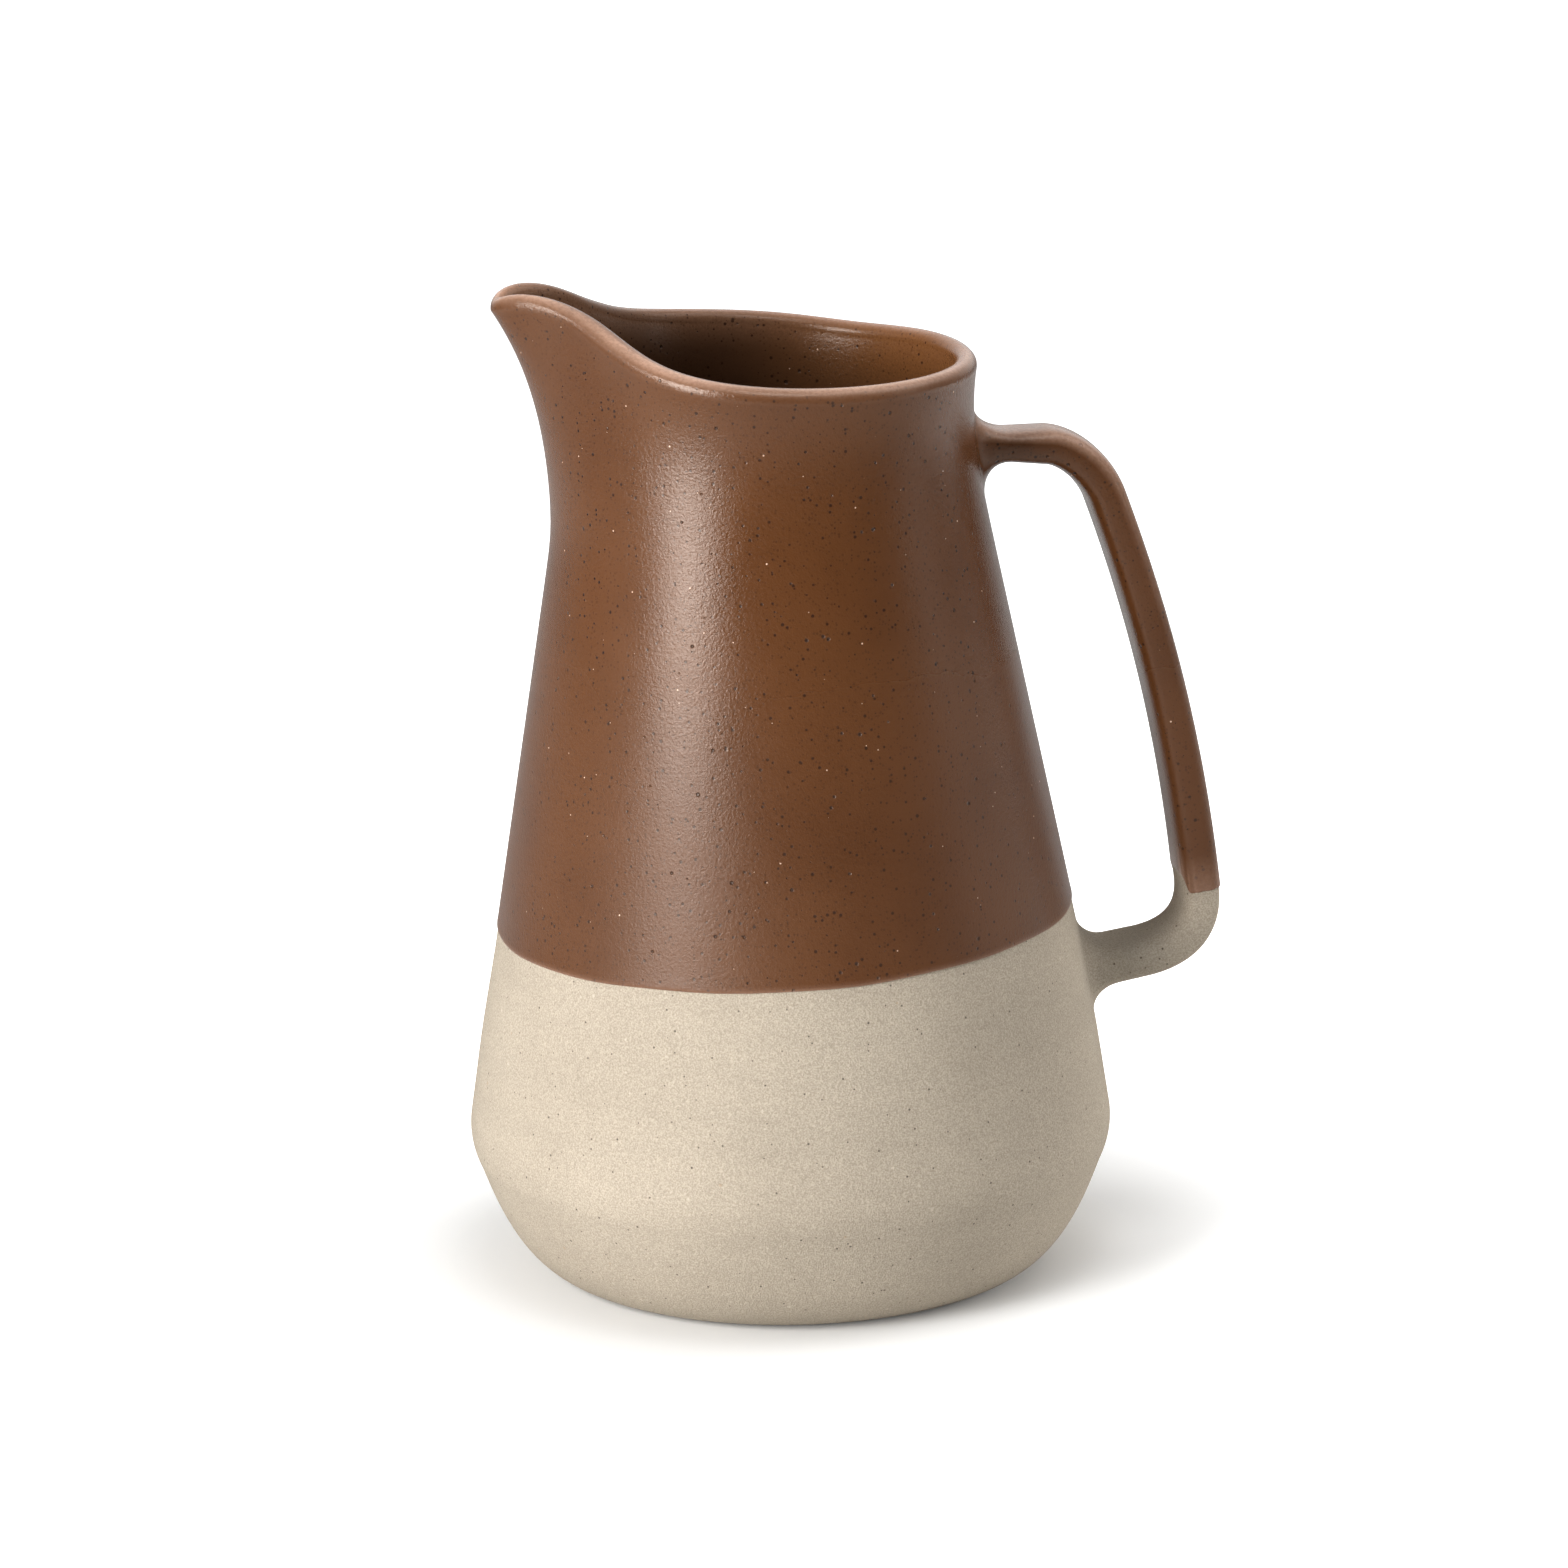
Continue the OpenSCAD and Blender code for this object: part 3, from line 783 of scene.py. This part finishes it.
# %% [markdown]
# ## Satin glaze
#
# The glaze is an iron brown that breaks to peach where it runs thin over an edge, and it
# is full of small dark specks with a few pinholes. On the lip's crest the peach is partly
# thin glaze and partly a painted reflection, on the strap's arm it is a painted highlight,
# and a few pale dots are painted glints. It is satin: half way between a mirror and chalk.
# One Principled shader of middle roughness gives that, and a second clear coat isn't
# needed. The same recipe makes the darker liner, with its own colours; its warmer, lighter
# band below the rim and in the spout is partly thinner glaze and partly painted light.

# %% Glaze: its specks, and the liner's warmer rim with painted light
CREST_EDGE, CREST_SHARE = (0.93, 1.0), 0.6
RIM_BAND = (0.195, 0.232)
HANDLE_SIDE, SPOUT_SIDE = (-0.005, 0.04), (-0.03, -0.056)


def glaze_specks(iron_kept):
    """The glaze's specks, from fine iron dust to the few pale dots of painted glint."""
    return {
        "dust": (1300.0, 0.42, 0.4, 0.45, (0.036, 0.013, 0.005, 1)),
        "iron": (640.0, 0.26, iron_kept, 0.95, (0.024, 0.009, 0.004, 1)),
        "cobalt": (95.0, 0.06, 0.1, 0.8, (0.12, 0.14, 0.15, 1)),
        "pins": (290.0, 0.13, 0.6, 0.8, (0.02, 0.01, 0.007, 1)),
        # Painted glints: pale dots of highlight painted into the colour.
        "painted_glints": (330.0, 0.065, 0.4, 0.9, (0.85, 0.58, 0.42, 1)),
    }


def lit_rim_tones(tree, colour, where, up_the_neck, by_the_handle, by_the_spout):
    """The liner is warmer and lighter along the rim, by the handle and in the spout: partly
    thinner glaze and partly painted light where the lamps reach in over the rim.
    """
    across = axis_of(tree, where, "X")
    near_rim = ramp(tree, axis_of(tree, where, "Z"), *RIM_BAND)
    crest = ramp(tree, up_the_neck, *CREST_EDGE)
    colour = paint(tree, colour, crest, CREST_SHARE, by_the_spout)
    colour = paint(tree, colour, near_rim, ramp(tree, across, *HANDLE_SIDE), by_the_handle)
    return paint(tree, colour, near_rim, ramp(tree, across, *SPOUT_SIDE), by_the_spout)


print("kinds of speck in the glaze:", list(glaze_specks(0.5)))

# %% Glaze: its gloss and its relief
GLAZE_RELIEF = 0.0001
SATIN = (0.165, 0.21)
LIP_GLOSS, LIP_EDGE, THIN_EDGE = 0.1, (0.97, 1.0), (0.05, 0.5)
LOW_MATT, LOW_BAND = 0.19, (0.195, 0.1)
PIN_DEPTH, IRON_DEPTH, SAND_HEIGHT, PEEL_HEIGHT = -2.4, -0.3, 0.18, 0.3


def satin_gloss(tree, clouds, where, up_the_neck, edge):
    """The roughness: glossier on the lip and other thin edges, and duller low down."""
    uneven = ramp(tree, clouds, 0.0, 1.0, *SATIN)
    at_lip = ramp(tree, up_the_neck, *LIP_EDGE, 0.0, LIP_GLOSS)
    at_edges = ramp(tree, edge, *THIN_EDGE, 0.0, LIP_GLOSS)
    glossy = calc(tree, "SUBTRACT", uneven, calc(tree, "MAXIMUM", at_lip, at_edges))
    matt_below = ramp(tree, axis_of(tree, where, "Z"), *LOW_BAND, 0.0, LOW_MATT)
    return calc(tree, "ADD", glossy, matt_below)


def glaze_height(tree, masks, turned, sand, peel):
    """Pinholes and specks dent the glaze, over throwing lines, sand and orange peel."""
    holes = calc(tree, "MULTIPLY", masks["pins"], PIN_DEPTH)
    dents = calc(tree, "ADD", holes, calc(tree, "MULTIPLY", masks["iron"], IRON_DEPTH))
    sandy = calc(tree, "MULTIPLY", sand, SAND_HEIGHT)
    skin = calc(tree, "ADD", sandy, calc(tree, "MULTIPLY", peel, PEEL_HEIGHT))
    return calc(tree, "ADD", calc(tree, "ADD", dents, turned), skin)


print("glaze relief in metres:", GLAZE_RELIEF)

# %% Material: satin glaze
GRAIN_SHARE = 0.4
CLOUD_PATCHES, PEEL_PATCHES = (0.7, 1.0), (0.75, 1.0)
IRON_TINT = (1, 0.87, 0.78, 1)


def satin_glaze(name, deep, warm, thin_and_sheen_colour, iron_kept, shine, lit_rim_colours=None):
    """An iron glaze with clouds, specks, pinholes and thin edges. Its colour also holds
    painted glints, a painted reflection on the lip's crest and a painted highlight on the
    strap's arm, where the thin mask runs.
    """
    made, tree, shader = new_finish(name)
    where = object_place(tree)
    sand = place_group(tree, grain, where, Grains_per_metre=1900.0)
    peel = place_group(tree, grain, where, Grains_per_metre=1150.0)
    turned = place_group(tree, lines, where, Rings_per_metre=60.0)
    up_the_neck = add(tree, "ShaderNodeAttribute", attribute_name="climb").outputs["Fac"]
    # The thin attribute: thin glaze, plus a painted reflection on the lip's crest and a painted
    # highlight on the strap's arm.
    edge = add(tree, "ShaderNodeAttribute", attribute_name="thin").outputs["Fac"]

    colour = tint(tree, sand["Clouds"], deep, warm)
    if lit_rim_colours:
        colour = lit_rim_tones(tree, colour, where, up_the_neck, *lit_rim_colours)
    colour = paint(tree, colour, sand["Grain"], GRAIN_SHARE, warm)
    colour, masks = speckle(tree, colour, where, glaze_specks(iron_kept))
    patchy = calc(tree, "MULTIPLY", ramp(tree, sand["Clouds"], 0.0, 1.0, *CLOUD_PATCHES),
                  ramp(tree, peel["Grain"], 0.0, 1.0, *PEEL_PATCHES))
    broken_thin_and_sheen = calc(tree, "MULTIPLY", edge, patchy, clamp=True)
    # Peach where the glaze runs thin; on the lip's crest this is also a painted reflection, and
    # on the strap's arm a painted highlight.
    wire(tree, tint(tree, broken_thin_and_sheen, colour, thin_and_sheen_colour), shader.inputs["Base Color"])

    gloss = satin_gloss(tree, sand["Clouds"], where, up_the_neck, edge)
    wire(tree, gloss, shader.inputs["Roughness"])
    shader.inputs["Specular IOR Level"].default_value = shine
    shader.inputs["Specular Tint"].default_value = IRON_TINT
    height = glaze_height(tree, masks, turned["Height"], sand["Grain"], peel["Grain"])
    relief(tree, shader, height, GLAZE_RELIEF)
    print(name, "nodes:", len(tree.nodes))
    return made


brown = satin_glaze(
    "brown_satin_glaze", deep=(0.076, 0.0265, 0.0082, 1), warm=(0.1, 0.0365, 0.0118, 1),
    thin_and_sheen_colour=(0.68, 0.42, 0.3, 1), iron_kept=0.5, shine=0.42)
liner = satin_glaze(
    "liner_satin_glaze", deep=(0.038, 0.017, 0.009, 1), warm=(0.058, 0.025, 0.011, 1),
    thin_and_sheen_colour=(0.56, 0.33, 0.23, 1), iron_kept=0.4, shine=0.26,
    # The two rim colours paint lit bands by the handle and in the spout, partly thinner glaze.
    lit_rim_colours=[(0.2, 0.075, 0.022, 1), (0.18, 0.088, 0.048, 1)])

# %% [markdown]
# ## The thrown body
#
# The body is one wall from the foot ring up over the lip and down to the floor. It is
# spun as a closed half profile, so its inside is real and shows through the mouth.

# %% Throw the body
RECESS_R = FOOT_R - 8
RECESS_H = 2
FOOT_BEVEL = 0.8
HIDDEN_ROWS = 14

profile = [thrown(0, RECESS_H), thrown(RECESS_R - 2, RECESS_H), thrown(RECESS_R - 0.6, 0.7),
           thrown(RECESS_R + 0.4, 0), thrown(FOOT_R - FOOT_BEVEL, 0)]
profile += thrown_all([p for p in bowl_outline if p.y > 0.02][:-1])
profile += neck_rows(0.0, HIDDEN_ROWS)
profile += lip_rows(OUTER_TURNS[:-1], 0.0) + lip_rows(INNER_TURNS, 0.0)
profile += reversed(neck_rows(WALL, HIDDEN_ROWS))
profile += thrown_all(bowl_inside(WALL)[1:]) + [thrown(0, FLOOR_H)]
finish_piece("thrown_body", throw(profile, shoulder_line, False),
             "stoneware_body", raw, SPUN_CREASE)

# %% [markdown]
# ## The coats of glaze
#
# The jug was held by its foot and dipped, so the brown coat ends in a nearly level line
# that wanders by a fraction of a millimetre and stands up from the clay as a soft edge.
# The liner was poured in and out before that, and the two coats meet on the lip. Each
# coat is a closed shell of its own, whose hidden side lies just inside the clay. A colour
# painted on the clay would do from afar, but the real coat has an edge that catches light.

# %% Dip the outside
EDGE_ROWS = [(0.0, 0.0, 0.5), (-0.16, 0.02, 0.4), (-0.3, 0.12, 0.3), (-0.4, 0.35, 0.15),
             (-0.44, 0.8, 0.05), (-0.42, 1.6, 0.0), (-0.4, 2.6, 0.0)]  # depth, height, thin
COAT_START = 0.035
SHOWN_ROWS = 52
BURIED = 0.05
DIP_LEVEL, DIP_TILT = 8.5, 2.6
DIP_WAVES = [(0.28, 2, 40), (0.16, 5, 0), (0.09, 13, 70)]  # height, times round, turn
DIP_STEP, STEP_DIRECTION, STEP_BREADTH = 0.45, 88, 0.8


def dip_line(a):
    """The height of the glaze's lower edge, a little uneven as dipped."""
    level = SHOULDER_H + DIP_LEVEL - DIP_TILT * cos_deg(a)
    wander = sum(height * sin_deg(times * a + turn) for height, times, turn in DIP_WAVES)
    step = DIP_STEP / (1 + math.exp((a - STEP_DIRECTION) / STEP_BREADTH))
    return level + wander - step


profile = [drawn(depth, 0.0, -height, thin) for depth, height, thin in EDGE_ROWS]
profile += neck_rows(-COAT, SHOWN_ROWS, low=COAT_START) + lip_rows(OUTER_TURNS, COAT)
profile += reversed(lip_rows(OUTER_TURNS, 0.0))
profile += reversed(neck_rows(BURIED, HIDDEN_ROWS))
finish_piece("body_glaze", throw(profile, dip_line, True),
             "outer_glaze", brown, SPUN_CREASE)

# %% Pour the liner
profile = [thrown(0, FLOOR_H)] + thrown_all(reversed(bowl_inside(WALL)[1:]))
profile += neck_rows(WALL - BURIED, HIDDEN_ROWS)
profile += reversed(lip_rows(INNER_TURNS, 0.0))
profile += lip_rows(INNER_TURNS, COAT)
profile += reversed(neck_rows(WALL + COAT, SHOWN_ROWS))
profile += thrown_all(bowl_inside(WALL + COAT)[1:]) + [thrown(0, FLOOR_H + COAT)]
finish_piece("inside_glaze", throw(profile, shoulder_line, False),
             "liner_glaze", liner, SPUN_CREASE)

# %% [markdown]
# ## The pulled strap
#
# The handle is a strap of clay pulled from a lump, pressed on to the neck, bent round and
# worked in at the shoulder. Here one ring of vertices is drawn along that line, one
# extrusion a station, and every ring is set to the strap's section at its station. A
# curve with a bevel object could do it, but its section would not thicken and flatten.

# %% The strap's line
UPPER_H = RIM_H - 22.5
LOWER_H = SHOULDER_H - 10.2
SAG = 0.1
ARM_RUN, ARM_DROP = 17.8, 1.78
UPPER_BEND_RUN, UPPER_BEND_DROP = 14.8, 13.2
GRIP_REACH = 30.8
LOWER_BEND_RUN, LOWER_BEND_RISE = 15.3, 17
LOWER_ARM_RISE = 2.1
LOWER_CLIMB = LOWER_ARM_RISE / (GRIP_REACH - LOWER_BEND_RUN)
TOP_SLOPE, FOOT_SLOPE = 0.366, 0.105
UPPER_PULL, GRIP_PULL, LOWER_PULL = 0.42, 0.34, 0.627
CURVE_STARTS = [0, 6, 14, 20]
LAST_STATION = CURVE_STARTS[-1]

upper_root = Vector((neck_point(180, UPPER_H).x, UPPER_H))
upper_arm_end = upper_root + Vector((ARM_RUN, -ARM_DROP))
upper_bend_end = upper_arm_end + Vector((UPPER_BEND_RUN, -UPPER_BEND_DROP))
lower_arm_end = Vector((SHOULDER_R + GRIP_REACH - LOWER_BEND_RUN, LOWER_H + LOWER_ARM_RISE))
lower_bend_end = Vector((SHOULDER_R + GRIP_REACH, lower_arm_end.y + LOWER_BEND_RISE))
grip_h = upper_bend_end.y - lower_bend_end.y
STRAP_CURVES = [
    [upper_arm_end,
     upper_arm_end + Vector((UPPER_BEND_RUN, -SAG * UPPER_BEND_RUN)) * UPPER_PULL,
     upper_bend_end + Vector((-TOP_SLOPE, 1)) * UPPER_BEND_DROP * UPPER_PULL,
     upper_bend_end],
    [upper_bend_end,
     upper_bend_end + Vector((TOP_SLOPE, -1)) * grip_h * GRIP_PULL,
     lower_bend_end + Vector((-FOOT_SLOPE, 1)) * grip_h * GRIP_PULL,
     lower_bend_end],
    [lower_bend_end,
     lower_bend_end + Vector((FOOT_SLOPE, -1)) * LOWER_BEND_RISE * LOWER_PULL,
     lower_arm_end + Vector((LOWER_BEND_RUN, LOWER_ARM_RISE)) * LOWER_PULL,
     lower_arm_end],
]


def strap_line(u):
    """The strap's middle, for a station from 0 at the upper arm to 20 at the lower."""
    k = 0 if u < CURVE_STARTS[1] else 1 if u < CURVE_STARTS[2] else 2
    t = (u - CURVE_STARTS[k]) / (CURVE_STARTS[k + 1] - CURVE_STARTS[k])
    return curve_at(STRAP_CURVES[k], clamp(t))


print("strap from", upper_root.to_tuple(1), "to", lower_arm_end.to_tuple(1))

# %% The strap's section
STRAP_SIDES = 56
SPOKES = range(STRAP_SIDES)
STRAP_SQUARE = 0.56
STRAP_THICK = (7.8, 10.2)
STRAP_WIDE = (15, 20)
ARM_PRESS = 1.0
BEND_FILL, FILL_STATION, FILL_SPREAD = 0.5, 3.2, 2.4
STATION_PROBE = 0.1


def signed_pow(x, p):
    return math.copysign(abs(x) ** p, x)


strap_turns = [360 * k / STRAP_SIDES for k in SPOKES]
strap_unit = [Vector((signed_pow(cos_deg(t), STRAP_SQUARE),
                      signed_pow(sin_deg(t), STRAP_SQUARE))) for t in strap_turns]


def strap_share(u):
    """How far the strap has thickened: 0 a station before its start, 1 a station past its
    end."""
    return (u + 1) / (LAST_STATION + 2)


def half_thick(share):
    return mix(*STRAP_THICK, share) / 2


def half_wide(share):
    return mix(*STRAP_WIDE, share) / 2


def strap_at(u, k, coat):
    """A place on the strap: station u, corner k, under a coat. Its outer face is half a
    millimetre fuller at the upper bend."""
    ahead = strap_line(min(u + STATION_PROBE, LAST_STATION))
    way = (ahead - strap_line(max(u - STATION_PROBE, 0))).normalized()
    fill = BEND_FILL * bell((u - FILL_STATION) / FILL_SPREAD) * max(0.0, strap_unit[k].y)
    out = strap_unit[k].y * half_thick(strap_share(u)) + coat * sin_deg(strap_turns[k]) + fill
    side = strap_unit[k].x * half_wide(strap_share(u)) + coat * cos_deg(strap_turns[k])
    c = strap_line(u)
    return Vector((c.x - way.y * out, side, c.y + way.x * out)) * MM


print("strap sides:", STRAP_SIDES)

# %% The strap's roots on the pot
FILLET_L = 8.0
FILLET_SIDE, FILLET_OUTER, FILLET_INNER = 3.5, 6.5, 10
ROOT_PLACES = [0, 0.004, 0.015, 0.035, 0.07, 0.12, 0.18, 0.26, 0.36, 0.48, 0.62, 0.8, 1]
UPPER_ROOT = dict(up=1, share=strap_share(0), height=UPPER_H, climb=-SAG, press=ARM_PRESS)
LOWER_ROOT = dict(up=-1, share=strap_share(LAST_STATION), height=LOWER_H, climb=LOWER_CLIMB,
                  press=0.0)


def bowl_radius(z):
    for low, high in zip(bowl_outline, bowl_outline[1:]):
        if low.y <= z <= high.y:
            return mix(low.x, high.x, (z - low.y) / (high.y - low.y))
    return bowl_outline[-1].x


def skin_side(y, z, coat):
    """How far out the pot's surface is, at a height and a side, under a coat."""
    if z <= SHOULDER_H:
        return math.sqrt(bowl_radius(z) ** 2 - y * y) + coat
    a = 180 - math.degrees(math.asin(y / neck_radius(z, rim_height(180) - z)))
    return neck_point(a, z).x + coat / neck_normal(a, z).x


def root_growth(place, size):
    """The rounding of a fillet: it leaves the clay and meets the strap smoothly."""
    return size * (1 - math.sqrt(max(0.0, 1 - (1 - place) ** 2)))


def root_at(root, place, k, filled, coat, sunk=0.0):
    """A place on a root, at a share of the fillet's length away from the clay. The upper
    root's top is pressed down by a millimetre."""
    s, c = sin_deg(strap_turns[k]), cos_deg(strap_turns[k])
    side = filled * root_growth(place, FILLET_SIDE) + coat
    over = filled * root_growth(place, FILLET_OUTER if s > 0 else FILLET_INNER) + coat
    y = strap_unit[k].x * half_wide(root["share"]) + side * c
    pressed = root["press"] * max(0.0, strap_unit[k].y)
    out = strap_unit[k].y * half_thick(root["share"]) + over * s - pressed
    z = root["height"] + root["up"] * out + root["climb"] * place * FILLET_L
    return Vector((skin_side(y, z, coat) - sunk + place * FILLET_L, y, z)) * MM


print("rings on a root:", len(ROOT_PLACES))

# %% Draw a ring along a line
STRAP_WELD = 2e-7


def draw_along(rings, thinness_and_highlight=None):
    """Draws a ring of vertices through rings of places, one extrusion a ring. A function
    of ring and spoke can say how thin the glaze is there and where a highlight is painted."""
    shell = bmesh.new()
    spoke = shell.verts.layers.int.new("spoke")
    thin = shell.verts.layers.float.new("thin")
    bmesh.ops.create_circle(shell, segments=STRAP_SIDES, radius=1)
    for k, v in enumerate(shell.verts):
        v[spoke] = k
        v.co = rings[0][k]
    edges = list(shell.edges)
    for i, ring in enumerate(rings[1:], 1):
        made = bmesh.ops.extrude_edge_only(shell, edges=edges)["geom"]
        front = {g for g in made if isinstance(g, bmesh.types.BMVert)}
        edges = [g for g in made if isinstance(g, bmesh.types.BMEdge) and set(g.verts) <= front]
        for v in front:
            v.co = ring[v[spoke]]
            v[thin] = thinness_and_highlight(i, v[spoke]) if thinness_and_highlight else 0.0
    return shell


def close_shell(shell):
    """Welds what lies together, fills what is open and turns the faces outwards."""
    bmesh.ops.remove_doubles(shell, verts=shell.verts, dist=STRAP_WELD)
    open_edges = [e for e in shell.edges if e.is_boundary]
    if open_edges:
        bmesh.ops.holes_fill(shell, edges=open_edges, sides=0)
    bmesh.ops.recalc_face_normals(shell, faces=shell.faces)
    return shell


def between(first, last, count=4):
    """Rings between two rings."""
    return [[first[k].lerp(last[k], i / (count + 1)) for k in SPOKES]
            for i in range(1, count + 1)]


print("weld distance in metres:", STRAP_WELD)

# %% Pull the strap of clay
SUNK = 0.3
GRIP_STATIONS = 90


def root_rings(root, filled, coat, sunk):
    """The rings of a root, from the clay, where they are sunk a little, to the strap."""
    return [[root_at(root, place, k, filled, coat, sunk * (1 - place)) for k in SPOKES]
            for place in ROOT_PLACES]


upper = root_rings(UPPER_ROOT, 0, 0, SUNK)
lower = root_rings(LOWER_ROOT, 0, 0, SUNK)
grip = [[strap_at(mix(0, LAST_STATION, i / GRIP_STATIONS), k, 0) for k in SPOKES]
        for i in range(GRIP_STATIONS + 1)]
rings = upper + between(upper[-1], grip[0]) + grip
rings += between(grip[-1], lower[-1]) + lower[::-1]
finish_piece("pulled_strap", close_shell(draw_along(rings)),
             "handle", raw, STRAP_CREASE)

# %% [markdown]
# ## The worked joints
#
# Where the strap meets the pot, soft clay was thumbed in until no crease was left. Each
# joint is a ring of clay that leaves the wall and meets the strap smoothly. A boolean with
# a bevel could do it, but rings that follow both surfaces keep the highlight unbroken.

# %% Work in the roots
FEATHER = 0.015


def work_in(name, root, node):
    """A closed ring of clay: its skin out along the fillet, and back along the strap."""
    buried = [[root_at(root, 0, k, 1, 0, SUNK) for k in SPOKES]]
    skin = root_rings(root, 1, 0, FEATHER)
    core = root_rings(root, 0, 0, SUNK)
    rings = buried + skin + core[::-1][1:] + buried
    finish_piece(name, close_shell(draw_along(rings)), node, raw, STRAP_CREASE)


work_in("upper_root_clay", UPPER_ROOT, "upper_handle_fillet")
work_in("lower_root_clay", LOWER_ROOT, "lower_handle_fillet")

# %% [markdown]
# ## The coat on the strap
#
# The same dip covered the upper root and the strap down to a ragged, streaky edge, a few
# millimetres higher on the inner face, where the glaze ran off. It is one closed shell
# like the other coats: out over the root, down the strap, round its edge and back inside.

# %% Where the strap's coat ends
COAT_STATIONS = 80
CORE_STATIONS = 12
RUN_OUT, INNER_LIFT = 13.96, 0.34
INNER_FACE, INNER_EASE = 0.74, 0.2
RAG_SIZE, RAG, FINE_RAG, FINER = 0.11, 0.04, 0.03, 3.1


def run_out(k):
    """The station where the glaze ends on one side of the strap."""
    inner = clamp((-strap_unit[k].y - INNER_FACE) / INNER_EASE)
    place = Vector((strap_turns[k] * RAG_SIZE, 2.3, 0.7))
    ragged = RAG * noise.noise(place) + FINE_RAG * noise.noise(place * FINER)
    return RUN_OUT - INNER_LIFT * inner + ragged


def coat_ring(share, beyond, coat):
    """A ring of the coat, at a share of the way to its edge or a little beyond it."""
    return [strap_at(run_out(k) * share + beyond, k, coat) for k in SPOKES]


print("coat ends between stations", round(min(map(run_out, SPOKES)), 2), "and",
      round(max(map(run_out, SPOKES)), 2))

# %% Dip the strap
EDGE_ROUNDING = [(0.03, 0.32), (0.05, 0.18), (0.06, -BURIED)]  # beyond, coat
COAT_END = 14
# The first three numbers place a painted highlight along the top of the strap's arm.
ARM_HIGHLIGHT_SHARE, ARM_HIGHLIGHT_REACH, ARM_HIGHLIGHT_START = 0.9, 5, 14
STREAK_SHARE, STREAK_SIZE, STREAK_FROM, STREAK_EASE = 0.5, 0.16, 13.1, 0.8

rings = [[root_at(UPPER_ROOT, 0, k, 1, COAT, SUNK) for k in SPOKES]]
rings += root_rings(UPPER_ROOT, 1, COAT, FEATHER)
rings += between(rings[-1], coat_ring(0, 0, COAT))
ARM_RINGS = len(rings) + 1
rings += [coat_ring(i / COAT_STATIONS, 0, COAT) for i in range(COAT_STATIONS + 1)]
rings += [coat_ring(1, beyond, coat) for beyond, coat in EDGE_ROUNDING]
rings += [coat_ring(i / CORE_STATIONS, 0, -BURIED) for i in range(CORE_STATIONS, -1, -1)]
rings += root_rings(UPPER_ROOT, 0, -BURIED, SUNK)[::-1]
rings.append(rings[0])


def strap_highlight_and_thinness(i, k):
    """A painted highlight on the arm's upper face and edges, and thin glaze in streaks where
    the glaze ran off.
    """
    u = COAT_END * clamp((i - ARM_RINGS) / COAT_STATIONS)
    # Painted highlight along the top of the strap's arm, laid on as the peach thin-glaze
    # colour.
    arm_highlight = clamp(strap_unit[k].y * 1.6 - 0.5) * bell(max(0.0, u - 1) / ARM_HIGHLIGHT_REACH)
    arm_highlight *= clamp(i / ARM_HIGHLIGHT_START)
    streak = 0.5 + 0.5 * noise.noise(Vector((strap_turns[k] * STREAK_SIZE, 0.4, 1.7)))
    runs = STREAK_SHARE * streak * clamp((u - STREAK_FROM) / STREAK_EASE)
    return ARM_HIGHLIGHT_SHARE * arm_highlight + runs


finish_piece("strap_glaze", close_shell(draw_along(rings, strap_highlight_and_thinness)),
             "handle_glaze", brown, STRAP_CREASE)

# %% [markdown]
# ## The picture's tone
#
# The picture is shown as the lamps light it, with no film curve.

# %% Set the picture's tone
scene.view_settings.view_transform = "Standard"
